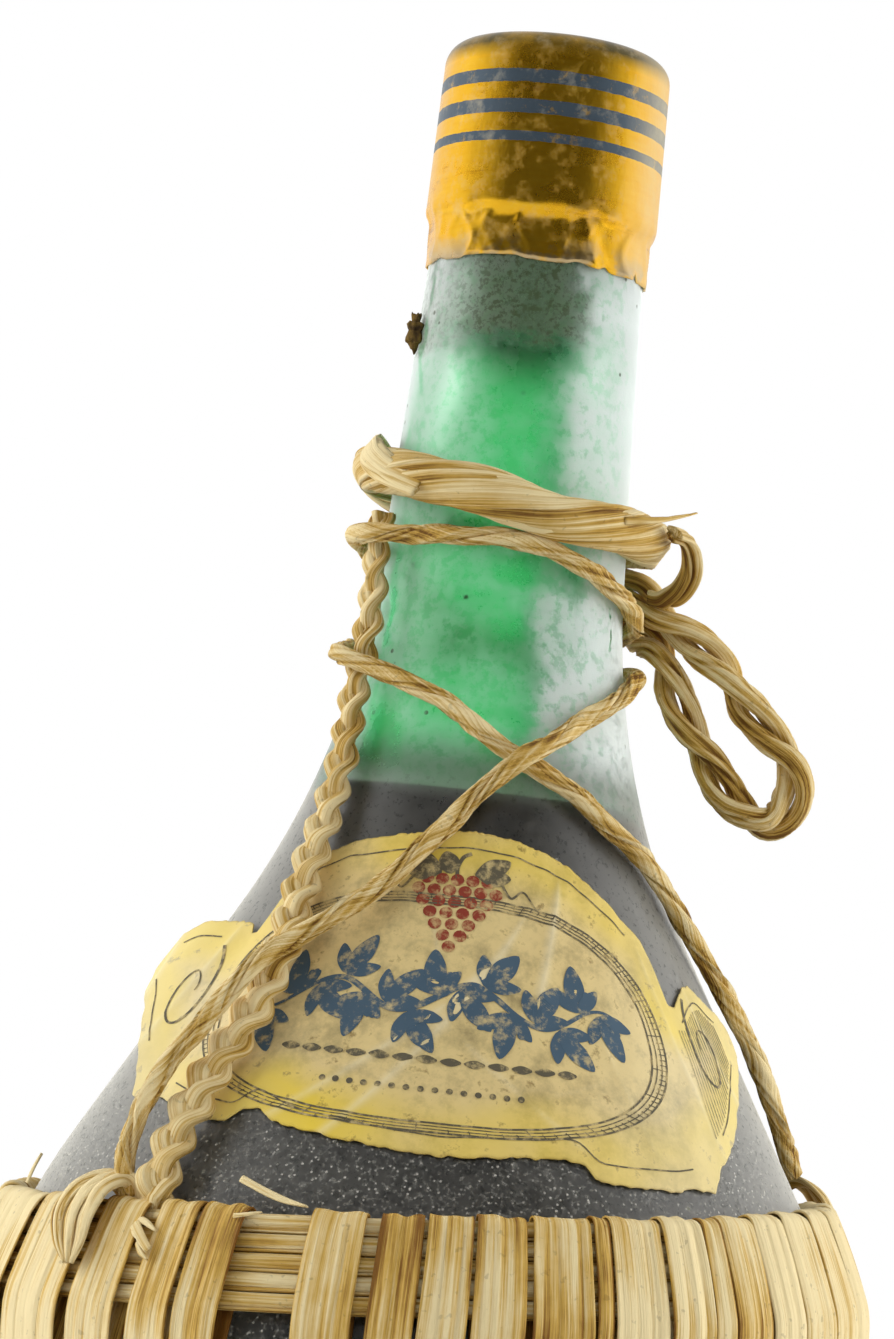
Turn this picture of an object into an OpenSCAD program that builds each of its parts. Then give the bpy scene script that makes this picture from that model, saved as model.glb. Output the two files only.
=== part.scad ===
/* [Flask] */
// Height of the glass mouth above the floor
flask_h = 269.3; // [262:0.1:278]
// Largest outside radius of the bulb
bulb_r = 60; // [56:0.5:64]
// Height of the widest part of the bulb
bulb_z = 74.5; // [70:0.5:80]
// Radius of the bulb's lower half, seen in section
lower_arc_r = 66; // [62:0.5:70]
// Radius of the rounded corner at the flask's foot
foot_arc_r = 24; // [20:0.5:27]
// Radius of the bulb's upper half, seen in section
upper_arc_r = 90; // [85:1:96]
// Lean of the shoulder from upright, in degrees
shoulder_lean = 29.9; // [28:0.1:31.5]
// Radius of the hollow curve from the shoulder to the neck
flare_r = 105; // [85:1:120]
// Outside radius of the neck at the capsule's lower edge
neck_r = 14.55; // [14:0.05:16]
// Taper of the neck, in degrees a side
neck_taper = 2.6; // [1.5:0.1:3.5]
// Wall of the bulb and shoulder
wall = 2.2; // [1.6:0.1:3]
// Radius of the bore that grips the cork
bore_r = 9.4; // [9:0.05:10]
// Height of the raised middle of the flask's foot
punt_h = 4; // [2:0.5:6]
// Height of the wine's surface above the floor
wine_z = 168; // [155:1:180]

/* [Cork and capsule] */
// Length of the cork
cork_l = 39.5; // [34:0.5:44]
// Height of the capsule from its torn edge to its top
capsule_h = 31.2; // [28:0.1:36]
// Outside radius of the capsule just under its stripes
capsule_top_r = 15.3; // [15.1:0.05:17]
// Outside radius of the capsule just above its crease
capsule_low_r = 15.65; // [15.3:0.05:17.5]
// Height of the plain skirt under the crease
skirt_h = 6.4; // [5:0.1:8]
// Rounding of the capsule's top edge
capsule_round = 3; // [2:0.1:4]
// Thickness of the foil
foil_t = 0.3; // [0.2:0.05:0.4]

/* [Straw basket] */
// Height of the basket's rim at the front
rim_z = 115.2; // [110:0.2:120]
// Rise of the rim on its right side, and its fall on the left
rim_rise = 4.3; // [0:0.1:6]
// Thickness of a straw strip
straw_t = 0.4; // [0.3:0.05:0.6]
// Radius of the reeds that stiffen the collar
reed_r = 1.15; // [0.9:0.05:1.4]
// Height of the collar that a strip's folded end covers
fold_l = 19; // [15:0.5:24]
// Stand-off of the strips from the bulb below the collar
strip_lift = 1.2; // [1:0.1:2]
// Distance of the straw ring's middle inside the bulb's largest radius
base_inset = 21.7; // [19:0.1:24]
// Half the width of that ring
base_half_w = 8; // [7:0.1:9]
// Height of that ring
base_h = 24.5; // [22:0.5:25]

/* [Label] */
// Height of the label's lowest edge above the floor
label_z = 120.5; // [120:0.5:126]
// Height of the label from its lowest to its highest edge
label_h = 42; // [36:0.5:44]
// Thickness of the label's paper
label_t = 0.3; // [0.2:0.05:0.4]

/* [Cords] */
// Diameter of the rope up the left side, at the rim
rope_d_low = 5; // [4.4:0.1:5.2]
// Diameter of that rope at the neck
rope_d_top = 3.8; // [3.2:0.1:4]
// Diameter of the cord that ties the neck to the rim
tie_d = 2.7; // [2.2:0.1:2.9]
// Diameter of the bundle of raffia round the neck
bundle_d = 5.8; // [5:0.1:6]
// Diameter of the curled strand at the bundle's right end
curl_d = 2.8; // [2:0.1:3]
// Diameter of the hanging loop
loop_d = 4.4; // [3.8:0.1:4.6]
// Diameter of the cord in the two rim knots
knot_d = 2.9; // [2.4:0.1:3]

/* [Hidden] */
$fn = 96;
// Air between pieces that rest on each other, and round the cork
seat = 0.3;
fit = 0.05;

// Levels at the mouth
capsule_top_z = flask_h + seat + foil_t;
skirt_z = capsule_top_z - capsule_h;
cork_top_z = flask_h - seat;
cork_z = cork_top_z - cork_l;
throat_z = cork_z - 3;

// The lip's band, which the capsule's skirt still passes over
lip_h = 18;
lip_step = 1.5;
lip_round = 2.2;
lip_r = neck_r - fit;

// The flask's section: foot arc, lower arc, upper arc, shoulder cone, hollow flare, neck cone
foot_lean = 60;
lower_c = [bulb_r - lower_arc_r, bulb_z];
foot_c = lower_c + (lower_arc_r - foot_arc_r) * [cos(foot_lean), -sin(foot_lean)];
foot_z = foot_c[1] - foot_arc_r;
foot_end_z = bulb_z - lower_arc_r * sin(foot_lean);
upper_c = [bulb_r - upper_arc_r, bulb_z];
shoulder_p = upper_c + upper_arc_r * [cos(shoulder_lean), sin(shoulder_lean)];
meet_z = (shoulder_p[0] + shoulder_p[1] * tan(shoulder_lean) - neck_r - skirt_z * tan(neck_taper))
    / (tan(shoulder_lean) - tan(neck_taper));
flare_l = flare_r * tan((shoulder_lean - neck_taper) / 2);
flare_low_z = meet_z - flare_l * cos(shoulder_lean);
flare_top_z = meet_z + flare_l * cos(neck_taper);
flare_c = [neck_at(flare_top_z), flare_top_z] + flare_r * [cos(neck_taper), sin(neck_taper)];

function neck_at(z) = neck_r - (z - skirt_z) * tan(neck_taper);

// Outside radius of the glass at a height
function glass_r(z) =
    z > flare_top_z ? neck_at(z) :
    z > flare_low_z ? flare_c[0] - sqrt(pow(flare_r, 2) - pow(z - flare_c[1], 2)) :
    z > shoulder_p[1] ? shoulder_p[0] - (z - shoulder_p[1]) * tan(shoulder_lean) :
    z > bulb_z ? upper_c[0] + sqrt(pow(upper_arc_r, 2) - pow(z - bulb_z, 2)) :
    z > foot_end_z ? lower_c[0] + sqrt(pow(lower_arc_r, 2) - pow(z - bulb_z, 2)) :
    foot_c[0] + sqrt(max(0, pow(foot_arc_r, 2) - pow(z - foot_c[1], 2)));

// Angle of the glass's outward normal above level at a height
function glass_lean(z) =
    z > flare_top_z ? neck_taper :
    z > flare_low_z ? asin((flare_c[1] - z) / flare_r) :
    z > shoulder_p[1] ? shoulder_lean :
    z > bulb_z ? asin((z - bulb_z) / upper_arc_r) :
    z > foot_end_z ? asin((z - bulb_z) / lower_arc_r) :
    asin(max(-1, (z - foot_c[1]) / foot_arc_r));

// A point at a distance off the glass, as radius and height, and as a place on a bearing
function skin(z, off) = [glass_r(z) + off * cos(glass_lean(z)), z + off * sin(glass_lean(z))];
function on_bearing(b, p) = [p[0] * sin(b), -p[0] * cos(b), p[1]];
function on_glass(b, z, off) = on_bearing(b, skin(z, off));
function arc(c, r, from, to, n) = [for (i = [0:n])
    let (a = from + (to - from) * i / n) c + r * [cos(a), sin(a)]];
function reverse(list) = [for (i = [len(list) - 1:-1:0]) list[i]];
function unit(v) = v / norm(v);
function ease(t) = let (s = min(1, max(0, t))) s * s * (3 - 2 * s);

// The body's section at a distance off the glass, from the foot up to the end of the flare
function body_section(off) = concat(
    arc(foot_c, foot_arc_r + off, -90, -foot_lean, 5),
    arc(lower_c, lower_arc_r + off, -foot_lean + 5, 0, 11),
    arc(upper_c, upper_arc_r + off, 5, shoulder_lean, 6),
    reverse(arc(flare_c, flare_r - off, 180 + neck_taper, 180 + shoulder_lean, 9)));
function punt(off) = [for (i = [0:3]) let (t = i / 4)
    [t * foot_c[0], foot_z - off + punt_h * (1 - t * t)]];

module flask() {
    mouth_edge = 0.8;
    lip_z = flask_h - lip_h;
    neck_in = skin(flare_top_z, -wall);
    throat = [for (i = [1:6]) let (t = i / 6)
        [neck_in[0] + (bore_r - neck_in[0]) * ease(t), neck_in[1] + (throat_z - neck_in[1]) * t]];
    mouth = [[bore_r, flask_h - mouth_edge], [bore_r + mouth_edge, flask_h]];
    outside = concat(punt(0), body_section(0),
        [[neck_at(lip_z - lip_step), lip_z - lip_step], [lip_r, lip_z]],
        arc([lip_r - lip_round, flask_h - lip_round], lip_round, 0, 90, 4));
    inside = concat(punt(-wall), body_section(-wall), throat, mouth);
    color([0.36, 0.62, 0.45, 0.7]) rotate_extrude() polygon(concat(outside, reverse(inside)));
}

module wine() {
    gap = wall + seat;
    section = concat(punt(-gap), body_section(-gap), [[0, flare_top_z]]);
    color([0.16, 0.05, 0.06]) intersection() {
        rotate_extrude() polygon(section);
        cylinder(r = bulb_r, h = wine_z);
    }
}

module cork() {
    edge = 0.6;
    r = bore_r - fit;
    color([0.45, 0.4, 0.25]) rotate_extrude() polygon([
        [0, cork_z], [r - edge, cork_z], [r, cork_z + edge],
        [r, cork_top_z - edge], [r - edge, cork_top_z], [0, cork_top_z]]);
}

// The foil capsule: a cup with a rounded top, a crease where it was crimped, and a torn skirt
module capsule() {
    skirt_r = neck_r + 2 * fit;
    crease_z = skirt_z + skirt_h;
    crease_h = 1.6;
    crease_p = [(skirt_r + capsule_low_r) / 2, crease_z + crease_h / 3];
    top_in = [capsule_top_r - capsule_round, capsule_top_z - capsule_round];
    function shell(t) = concat(
        [[skirt_r + t, skirt_z], [skirt_r + t, crease_z], crease_p + [t, 0]],
        [[capsule_low_r - foil_t + t, crease_z + crease_h]],
        arc(top_in, capsule_round - foil_t + t, 0, 90, 5), [[0, capsule_top_z - foil_t + t]]);
    color([0.86, 0.55, 0.1]) difference() {
        rotate_extrude() polygon(concat(shell(foil_t), reverse(shell(0))));
        for (i = [0:12])
            rotate([0, 0, i * 27.7 + 9 * sin(i * 77)])
                torn_notch(1.4 + 0.8 * sin(i * 53), 0.8 + 0.7 * sin(i * 131));
    }
}

module torn_notch(half_w, depth) {
    reach = 2;
    translate([neck_r - 1, 0, skirt_z]) rotate([90, 0, 90]) linear_extrude(reach)
        polygon([[-half_w, -1], [half_w, -1], [0.3 * half_w, depth]]);
}

// The collar's reeds stand off the glass by the strips' inner ends; each fold turns round the top reed
fold_gap = 0.3;
fold_in_r = reed_r + fold_gap;
fold_r = fold_in_r + straw_t;
reed_off = seat + fold_r;
reed_pitch = 2 * reed_r + 0.15;
REEDS = 5;
function rim_at(b) = rim_z + rim_rise * sin(b);
function top_reed_z(b) = rim_at(b) - fold_r - reed_off * sin(glass_lean(rim_at(b)));
function reed_z(b, i) = top_reed_z(b) - i * reed_pitch * cos(glass_lean(top_reed_z(b)));

// A reed is a ring, tilted with the rim and moved sideways with the shoulder's slope
module reed(i) {
    left = skin(reed_z(-90, i), reed_off);
    right = skin(reed_z(90, i), reed_off);
    tilt = atan2(right[1] - left[1], right[0] + left[0]);
    ring_r = norm([right[0] + left[0], right[1] - left[1]]) / 2;
    color([0.8, 0.68, 0.42]) translate([(right[0] - left[0]) / 2, 0, (right[1] + left[1]) / 2])
        rotate([0, -tilt, 0]) rotate_extrude() translate([ring_r, 0]) circle(reed_r, $fn = 24);
}

// The straw ring under the flask: an oval section, flat on the floor and hollowed by the bulb
base_tall = 13;
base_r = bulb_r - base_inset;
function under_bulb(r) = bulb_z - sqrt(pow(lower_arc_r + seat, 2) - pow(r - lower_c[0], 2));
function base_point(a, off) =
    [base_r + (base_half_w + off) * cos(a), base_h - base_tall + (base_tall + off) * sin(a)];

module base_ring() {
    section = [for (a = [0:10:350]) let (p = base_point(a, 0)) [p[0], max(0, min(p[1], under_bulb(p[0])))]];
    color([0.78, 0.64, 0.38]) rotate_extrude() polygon(section);
}

// A strip starts under the base ring, runs straight to the bulb, follows it up and over the collar,
// folds round the top reed and ends between the reeds and the glass
collar_h = (REEDS - 1) * reed_pitch;
relax_h = 10.4;
leg_start = base_point(0, seat);
leg_reach = norm(leg_start - lower_c);
leg_angle = atan2(leg_start[1] - lower_c[1], leg_start[0] - lower_c[0])
    + acos((lower_arc_r + strip_lift) / leg_reach);
leg_z = bulb_z + lower_arc_r * sin(leg_angle);

function strip_off(z, reed) = let (out = reed_off + fold_in_r)
    out - (out - strip_lift) * ease((reed - z - collar_h) / relax_h);
function strip_face(reed, t) = concat(
    [for (a = [-48:12:0]) base_point(a, seat + t)],
    [for (z = [leg_z:5:reed - collar_h - relax_h - 2]) skin(z, strip_lift + t)],
    [for (h = [collar_h + relax_h:-2:2]) skin(reed - h, strip_off(reed - h, reed) + t)],
    fold(reed, fold_in_r + t),
    [for (h = [4:5:fold_l]) skin(reed - h, seat + straw_t - t)]);
function fold(reed, r) = let (lean = glass_lean(reed)) arc(skin(reed, reed_off), r, lean, lean + 180, 7);

// Each strip: bearing of its left and right edge, and how far its crest stands above the rim's line
FRONT_STRIPS = [
    [-74.4, -60.2, 0.4], [-58.8, -46.8, 0.3], [-45.6, -38, 0.6], [-35.8, -29.8, 0.7], [-29.3, -23.4, 0.5],
    [-14.8, -7.8, 0.3], [-6.3, -0.9, 0.2], [-0.5, 5.3, 0.2], [5.7, 12.1, 0.2], [12.7, 20.4, 0.2],
    [20.8, 23, 0.2], [23.4, 30.6, 0.2], [30.9, 37.3, 0.2], [37.7, 40.6, 0.2], [41, 47.6, 0.2],
    [48, 55, 0.4], [55.4, 63.8, 0.5], [64.4, 73.6, 0.6]];
BACK_STRIPS = 22;
strip_gap = 0.6;
back_from = FRONT_STRIPS[len(FRONT_STRIPS) - 1][1] + strip_gap;
back_pitch = (FRONT_STRIPS[0][0] + 360 - back_from) / BACK_STRIPS;
STRIPS = concat(FRONT_STRIPS, [for (i = [0:BACK_STRIPS - 1]) let (b = back_from + i * back_pitch)
    [b, b + back_pitch - strip_gap, 0.45 + 0.25 * sin(i * 97)]]);

module strip(i) {
    s = STRIPS[i];
    reed = top_reed_z((s[0] + s[1]) / 2) + s[2];
    tone = 0.04 * sin(i * 67);
    color([0.84 + tone, 0.74 + tone, 0.5 + tone]) rotate([0, 0, s[0] - 90])
        rotate_extrude(angle = s[1] - s[0])
            polygon(concat(strip_face(reed, straw_t), reverse(strip_face(reed, 0))));
}

// The label: bearing, then its top and bottom edge as shares of the label's height
LABEL_EDGE = [
    [-80, 0.48, 0.45], [-77, 0.52, 0.42], [-74, 0.56, 0.38], [-70, 0.61, 0.33], [-66, 0.63, 0.25],
    [-63, 0.64, 0.19], [-60.5, 0.65, 0.13], [-59, 0.65, 0.09], [-56.5, 0.65, 0.09], [-55.4, 0.62, 0.11],
    [-53.6, 0.63, 0.11], [-52.6, 0.74, 0.1], [-51.5, 0.8, 0.1], [-49, 0.84, 0.09], [-44, 0.89, 0.07],
    [-38.5, 0.92, 0.06], [-35, 0.94, 0.06], [-33, 0.945, 0.1], [-30.5, 0.95, 0.11], [-27.5, 0.955, 0.08],
    [-22, 0.97, 0.06], [-10, 0.99, 0.04], [0, 1, 0.03], [12, 0.99, 0.05], [19, 0.965, 0.06],
    [22.5, 0.955, 0.05], [24, 0.945, 0.01], [28, 0.93, 0], [32, 0.9, 0], [39, 0.84, 0], [43, 0.79, 0.01],
    [46.5, 0.75, 0],
    [48.5, 0.73, 0.04], [50, 0.67, 0.07], [50.7, 0.54, 0.08], [53.5, 0.54, 0.11], [56, 0.57, 0.14],
    [59.5, 0.6, 0.19], [63, 0.61, 0.25], [66, 0.58, 0.29], [68.5, 0.56, 0.32], [71, 0.54, 0.35],
    [75.5, 0.52, 0.4], [80, 0.48, 0.45]];
function label_share(b, edge) = lookup(b, [for (p = LABEL_EDGE) [p[0], p[edge]]]);
// The left and right ends have come unstuck and stand off the glass
function label_off(b) = seat + 3.6 * ease((-54 - b) / 22) + 0.4 * ease((b - 58) / 16);

module label() {
    first = LABEL_EDGE[0][0];
    last = LABEL_EDGE[len(LABEL_EDGE) - 1][0];
    columns = 80;
    rows = 6;
    across = rows + 1;
    side = (columns + 1) * across;
    function corner(i, j, t) = let (
        b = first + (last - first) * i / columns,
        low = label_share(b, 2),
        share = low + (label_share(b, 1) - low) * j / rows)
        on_glass(b, label_z + label_h * share, label_off(b) + t);
    points = [for (t = [0, label_t]) for (i = [0:columns]) for (j = [0:rows]) corner(i, j, t)];
    skins = [for (i = [0:columns - 1]) for (j = [0:rows - 1]) let (a = i * across + j, b = a + across)
        each [[a, b, b + 1], [a, b + 1, a + 1],
            [side + a, side + b + 1, side + b], [side + a, side + a + 1, side + b + 1]]];
    edges = concat(
        [for (i = [0:columns - 1]) let (a = i * across, b = a + across)
            each [[a, side + b, b], [a, side + a, side + b]]],
        [for (i = [0:columns - 1]) let (a = i * across + rows, b = a + across)
            each [[a, b, side + b], [a, side + b, side + a]]],
        [for (j = [0:rows - 1]) each [[j, j + 1, side + j + 1], [j, side + j + 1, side + j]]],
        [for (j = [0:rows - 1]) let (a = columns * across + j)
            each [[a, side + a + 1, a + 1], [a, side + a, side + a + 1]]]);
    color([0.85, 0.76, 0.42]) polyhedron(points, concat(skins, edges));
}

// Cords: a smooth line through a route's points, swept with a ring of sides
SIDES = 8;
function blend4(p, t) = 0.5 * (2 * p[1] + (p[2] - p[0]) * t + (2 * p[0] - 5 * p[1] + 4 * p[2] - p[3]) * t * t
    + (3 * p[1] - p[0] - 3 * p[2] + p[3]) * t * t * t);
function along(route, s) = let (last = len(route) - 1, i = min(last - 1, floor(s)))
    blend4([route[max(0, i - 1)], route[i], route[i + 1], route[min(last, i + 2)]], s - i);
function smooth(route, steps) = [for (i = [0:(len(route) - 1) * steps]) along(route, i / steps)];
function laid(route, steps) = [for (p = smooth(route, steps)) on_glass(p[0], p[1], p[2])];
function outward(route, steps) = [for (p = smooth(route, steps)) let (lean = glass_lean(p[1]))
    [sin(p[0]) * cos(lean), -cos(p[0]) * cos(lean), sin(lean)]];
function heading(line, i) = unit(line[min(len(line) - 1, i + 1)] - line[max(0, i - 1)]);

module cord(line, out, d0, d1) {
    n = len(line);
    points = [for (i = [0:n - 1]) let (
        t = heading(line, i),
        u = unit(out[i] - (out[i] * t) * t),
        v = cross(t, u),
        r = (d0 + (d1 - d0) * i / (n - 1)) / 2)
        for (k = [0:SIDES - 1]) line[i] + r * (cos(k * 360 / SIDES) * u + sin(k * 360 / SIDES) * v)];
    skins = [for (i = [0:n - 2]) for (k = [0:SIDES - 1]) let (
        a = i * SIDES + k,
        b = i * SIDES + (k + 1) % SIDES)
        each [[a, a + SIDES, b + SIDES], [a, b + SIDES, b]]];
    ends = [[for (k = [0:SIDES - 1]) k], [for (k = [SIDES - 1:-1:0]) (n - 1) * SIDES + k]];
    polyhedron(points, concat(skins, ends));
}

module laid_cord(route, steps, d0, d1) {
    color([0.74, 0.6, 0.36]) cord(laid(route, steps), outward(route, steps), d0, d1);
}

// Routes on the glass: bearing, height, and the cord's middle off the glass
ROPE = [
    [-41, 114.4, 2.8], [-41.4, 121.4, 3.4], [-40.7, 127.8, 3.5], [-39, 135.7, 3.4], [-38.6, 143, 3.3],
    [-40.5, 150.3, 3.2], [-43.4, 157, 3], [-46.5, 164.4, 2.6], [-50.5, 171.9, 2.5], [-55.3, 178.7, 2.4],
    [-58.4, 185.5, 2.4], [-61.4, 192.3, 2.3], [-64, 198, 2.3], [-66.5, 204, 2.3]];
TIE = [
    [-45.8, 117.4, 4], [-45, 119, 5.6], [-43.8, 121.4, 7], [-41.9, 126.5, 7.8], [-40, 131.1, 7.6],
    [-38.3, 135.8, 7.4], [-35.5, 140.6, 6.8], [-31.9, 144.7, 5], [-26.7, 149, 3.6], [-20.8, 153.2, 2.7],
    [-13.5, 158.5, 2.4], [-9, 161.3, 2.4], [-2, 165.6, 2.8], [5, 168.7, 4], [13, 171.7, 4.9],
    [24, 175.1, 3.2], [36, 178.4, 1.9], [48, 180.6, 1.7], [63, 183.2, 1.7], [76, 185.4, 1.7],
    [95, 186.6, 1.7],
    [115, 187.2, 1.7], [140, 187.8, 1.7], [160, 188.6, 2.8], [180, 190, 4.8], [200, 192.8, 4.2],
    [220, 195.8, 2.4], [240, 198.2, 1.7], [255, 199.4, 1.8], [267, 200.1, 2.1], [274, 200.4, 2.7],
    [280, 200.5, 3.4], [287, 200.6, 4.7], [294, 200.7, 5.9], [301, 200.75, 5.3], [306, 200.8, 4.1],
    [313, 200.9, 3], [320, 201, 2.3], [337, 201.1, 1.8], [353, 201.3, 1.7], [365, 201.3, 1.7],
    [376, 200.8, 1.7], [388, 199.8, 1.7], [400, 198.6, 1.7], [413, 197.1, 1.7], [430, 195.4, 1.7],
    [448, 193.7, 1.7], [470, 192.6, 1.7], [495, 191.6, 1.7], [520, 190.8, 1.7], [545, 189.8, 1.7],
    [570, 188.6, 1.7], [590, 187.6, 1.7], [605, 187, 1.7], [618, 186.6, 1.7], [633, 186, 1.95],
    [640, 185.4, 2.5], [647, 184.8, 3.3], [652, 184.4, 4.3], [658, 183.8, 5.7], [664, 183.2, 6],
    [671, 182.6, 4.7], [678, 182, 3.4], [686, 181.2, 2.4], [699, 179.6, 1.8], [710, 177.6, 1.7],
    [720, 175, 1.7], [730, 172.7, 1.7], [741, 170.7, 1.7], [750, 168.9, 1.7], [757, 167, 1.7],
    [765, 164.6, 1.7], [775, 162.1, 1.8], [784, 158.6, 1.8], [791, 153.6, 1.9], [797, 147, 2.3],
    [803, 140.6, 2.6], [809, 133.6, 2.5], [814, 127.4, 2.1], [820, 122.4, 2.4]];
BUNDLE = [
    [-179.4, 207, 3.2], [-160, 208, 3.2], [-140, 209.2, 3.2], [-120, 210.2, 3.2], [-100, 210.8, 3.2],
    [-79, 210.4, 3.3], [-60, 209.4, 3.3], [-40, 208.5, 3.2], [-17, 207.1, 3.2], [0, 205.9, 3.2],
    [16, 204.8, 3.2], [34, 204.6, 3.2], [57, 204.6, 3.2], [80, 204.8, 3.2], [100, 205, 3.2],
    [120, 205.4, 3.2], [140, 205.8, 3.2], [160, 206.3, 3.2], [179.4, 207, 3.2]];
CURL = [
    [66, 205.2, 8], [73, 205, 8.6], [80, 203.4, 8.9], [86, 201, 8.8], [91, 198.8, 7.6], [95, 197.8, 5.9],
    [99, 198.2, 4.1]];
KNOT_LEFT = [
    [-51.4, 103.8, 5.85], [-51.4, 107, 5.95], [-51.4, 110, 5.65], [-51.3, 112.4, 4.65],
    [-51, 114.6, 3.15], [-49.8, 116, 2], [-48.8, 116, 2.1], [-48, 114.6, 3.15], [-47.8, 112.4, 4.65],
    [-47.7, 109.6, 5.75], [-47.6, 106.4, 5.95], [-47.3, 103.6, 5.85], [-45.9, 102, 5.85],
    [-44.5, 103.6, 5.85], [-44.2, 106.4, 5.95],
    [-44.1, 108.6, 5.95], [-44.1, 110.2, 5.9]];
KNOT_RIGHT = [
    [103.6, 107.5, 5.85], [103.6, 112, 5.95], [103.7, 116.4, 5.85], [103.8, 119.6, 4.65],
    [104.4, 121.8, 3.15], [105.6, 123, 2], [107, 122.7, 2.2], [107.6, 120.9, 3.85], [107.8, 118, 5.55],
    [107.9, 113, 5.95],
    [108, 109.6, 5.85], [109.6, 107.6, 5.85], [111.2, 109.6, 5.85], [111.5, 114, 5.95], [111.6, 118.4, 5.45]];

// The hanging loop leaves the neck behind its right side and comes back there
LOOP = [
    [9.5, 16.4, 200.6], [14, 12.8, 200.4], [18.2, 8.4, 199.2], [21.6, 6, 196.2], [26, 5, 193.6],
    [30.5, 4.2, 189.9], [34.5, 3.6, 184.9], [38.1, 3.2, 181.3], [41, 3, 177.9], [42.1, 2.8, 174.2],
    [41, 2.8, 170.7], [38.3, 2.8, 169.3], [34.4, 3, 171.6], [31.8, 3.4, 174.6], [29.8, 4, 177.5],
    [27.1, 4.8, 181.7], [25, 5.8, 185.4], [23.2, 7, 189.2], [21.4, 9, 192.4], [17.6, 13.4, 194.8],
    [11.4, 16.6, 195.6]];

module side_rope() { laid_cord(ROPE, 2, rope_d_low, rope_d_top); }
module tie_cord() { laid_cord(TIE, 2, tie_d, tie_d); }
module rim_knot_left() { laid_cord(KNOT_LEFT, 2, knot_d, knot_d); }
module rim_knot_right() { laid_cord(KNOT_RIGHT, 2, knot_d, knot_d); }

// The bundle's two ends meet behind the neck; one strand leaves it as a curl at the right
module neck_bundle() {
    laid_cord(BUNDLE, 3, bundle_d, bundle_d);
    laid_cord(CURL, 2, curl_d, curl_d);
}

module hanging_loop() {
    line = smooth(LOOP, 2);
    color([0.74, 0.6, 0.36]) cord(line, [for (p = line) [0, 1, 0]], loop_d, loop_d);
}

flask();
wine();
cork();
capsule();
label();
base_ring();
for (i = [1:REEDS]) reed(i - 1);
for (i = [1:len(STRIPS)]) strip(i - 1);
side_rope();
tie_cord();
neck_bundle();
hanging_loop();
rim_knot_left();
rim_knot_right();
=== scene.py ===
"""Looks of an old one-litre wine flask in a straw basket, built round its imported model."""

import math
import random

import bpy
import numpy as np
from mathutils import Matrix, Vector


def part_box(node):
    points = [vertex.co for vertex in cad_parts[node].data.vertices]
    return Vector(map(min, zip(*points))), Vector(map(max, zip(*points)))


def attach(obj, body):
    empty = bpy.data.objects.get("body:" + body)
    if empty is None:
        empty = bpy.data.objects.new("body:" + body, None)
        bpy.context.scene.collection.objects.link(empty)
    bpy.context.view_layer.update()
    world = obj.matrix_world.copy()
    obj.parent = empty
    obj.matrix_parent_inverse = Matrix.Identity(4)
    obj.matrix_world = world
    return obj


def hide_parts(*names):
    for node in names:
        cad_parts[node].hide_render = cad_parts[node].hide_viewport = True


bl_info = {
    "name": "Straw-covered wine flask",
    "version": (1, 0, 0),
    "blender": (4, 5, 0),
    "location": "3D View > Sidebar > Flask",
    "description": "Builds the glass, foil, label, straw and cords of an old wine flask",
    "category": "Add Mesh",
}

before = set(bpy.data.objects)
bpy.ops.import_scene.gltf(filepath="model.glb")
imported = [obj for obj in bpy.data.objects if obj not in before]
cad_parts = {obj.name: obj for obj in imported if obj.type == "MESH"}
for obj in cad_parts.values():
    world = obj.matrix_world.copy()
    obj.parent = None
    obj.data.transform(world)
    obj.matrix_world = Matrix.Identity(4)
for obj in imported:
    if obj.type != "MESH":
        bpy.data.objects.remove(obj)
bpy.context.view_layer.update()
MM = 0.001

# Sizes of the flask in millimetres, read from the frame where a box shows them
GLASS_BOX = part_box("flask")
FLASK_H = GLASS_BOX[1].z / MM
BULB_R = 60.0
BULB_Z = 74.5
LOWER_ARC_R = 66.0
FOOT_ARC_R = 24.0
UPPER_ARC_R = 90.0
SHOULDER_LEAN = math.radians(29.9)
FLARE_R = 105.0
NECK_R = 14.55
NECK_TAPER = math.radians(2.6)
FOOT_LEAN = math.radians(60)
WALL = 2.2
BORE_R = 9.4
PUNT_H = 4.0
WINE_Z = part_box("wine")[1].z / MM
CORK_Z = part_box("cork")[0].z / MM
CORK_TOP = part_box("cork")[1].z / MM
CAPSULE_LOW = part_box("capsule")[0].z / MM
CAPSULE_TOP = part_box("capsule")[1].z / MM
SEAT = 0.3

SHOULDER = (BULB_R - UPPER_ARC_R * (1 - math.cos(SHOULDER_LEAN)), BULB_Z + UPPER_ARC_R * math.sin(SHOULDER_LEAN))
FOOT_C = (
    BULB_R - LOWER_ARC_R + (LOWER_ARC_R - FOOT_ARC_R) * math.cos(FOOT_LEAN),
    BULB_Z - (LOWER_ARC_R - FOOT_ARC_R) * math.sin(FOOT_LEAN),
)
FOOT_Z = FOOT_C[1] - FOOT_ARC_R
FOOT_END_Z = BULB_Z - LOWER_ARC_R * math.sin(FOOT_LEAN)
MEET_Z = (
    SHOULDER[0] + SHOULDER[1] * math.tan(SHOULDER_LEAN) - NECK_R - CAPSULE_LOW * math.tan(NECK_TAPER)
) / (math.tan(SHOULDER_LEAN) - math.tan(NECK_TAPER))
FLARE_L = FLARE_R * math.tan((SHOULDER_LEAN - NECK_TAPER) / 2)
FLARE_LOW_Z = MEET_Z - FLARE_L * math.cos(SHOULDER_LEAN)
FLARE_TOP_Z = MEET_Z + FLARE_L * math.cos(NECK_TAPER)


def neck_at(z):
    return NECK_R - (z - CAPSULE_LOW) * math.tan(NECK_TAPER)


FLARE_C = (
    neck_at(FLARE_TOP_Z) + FLARE_R * math.cos(NECK_TAPER),
    FLARE_TOP_Z + FLARE_R * math.sin(NECK_TAPER),
)


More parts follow.
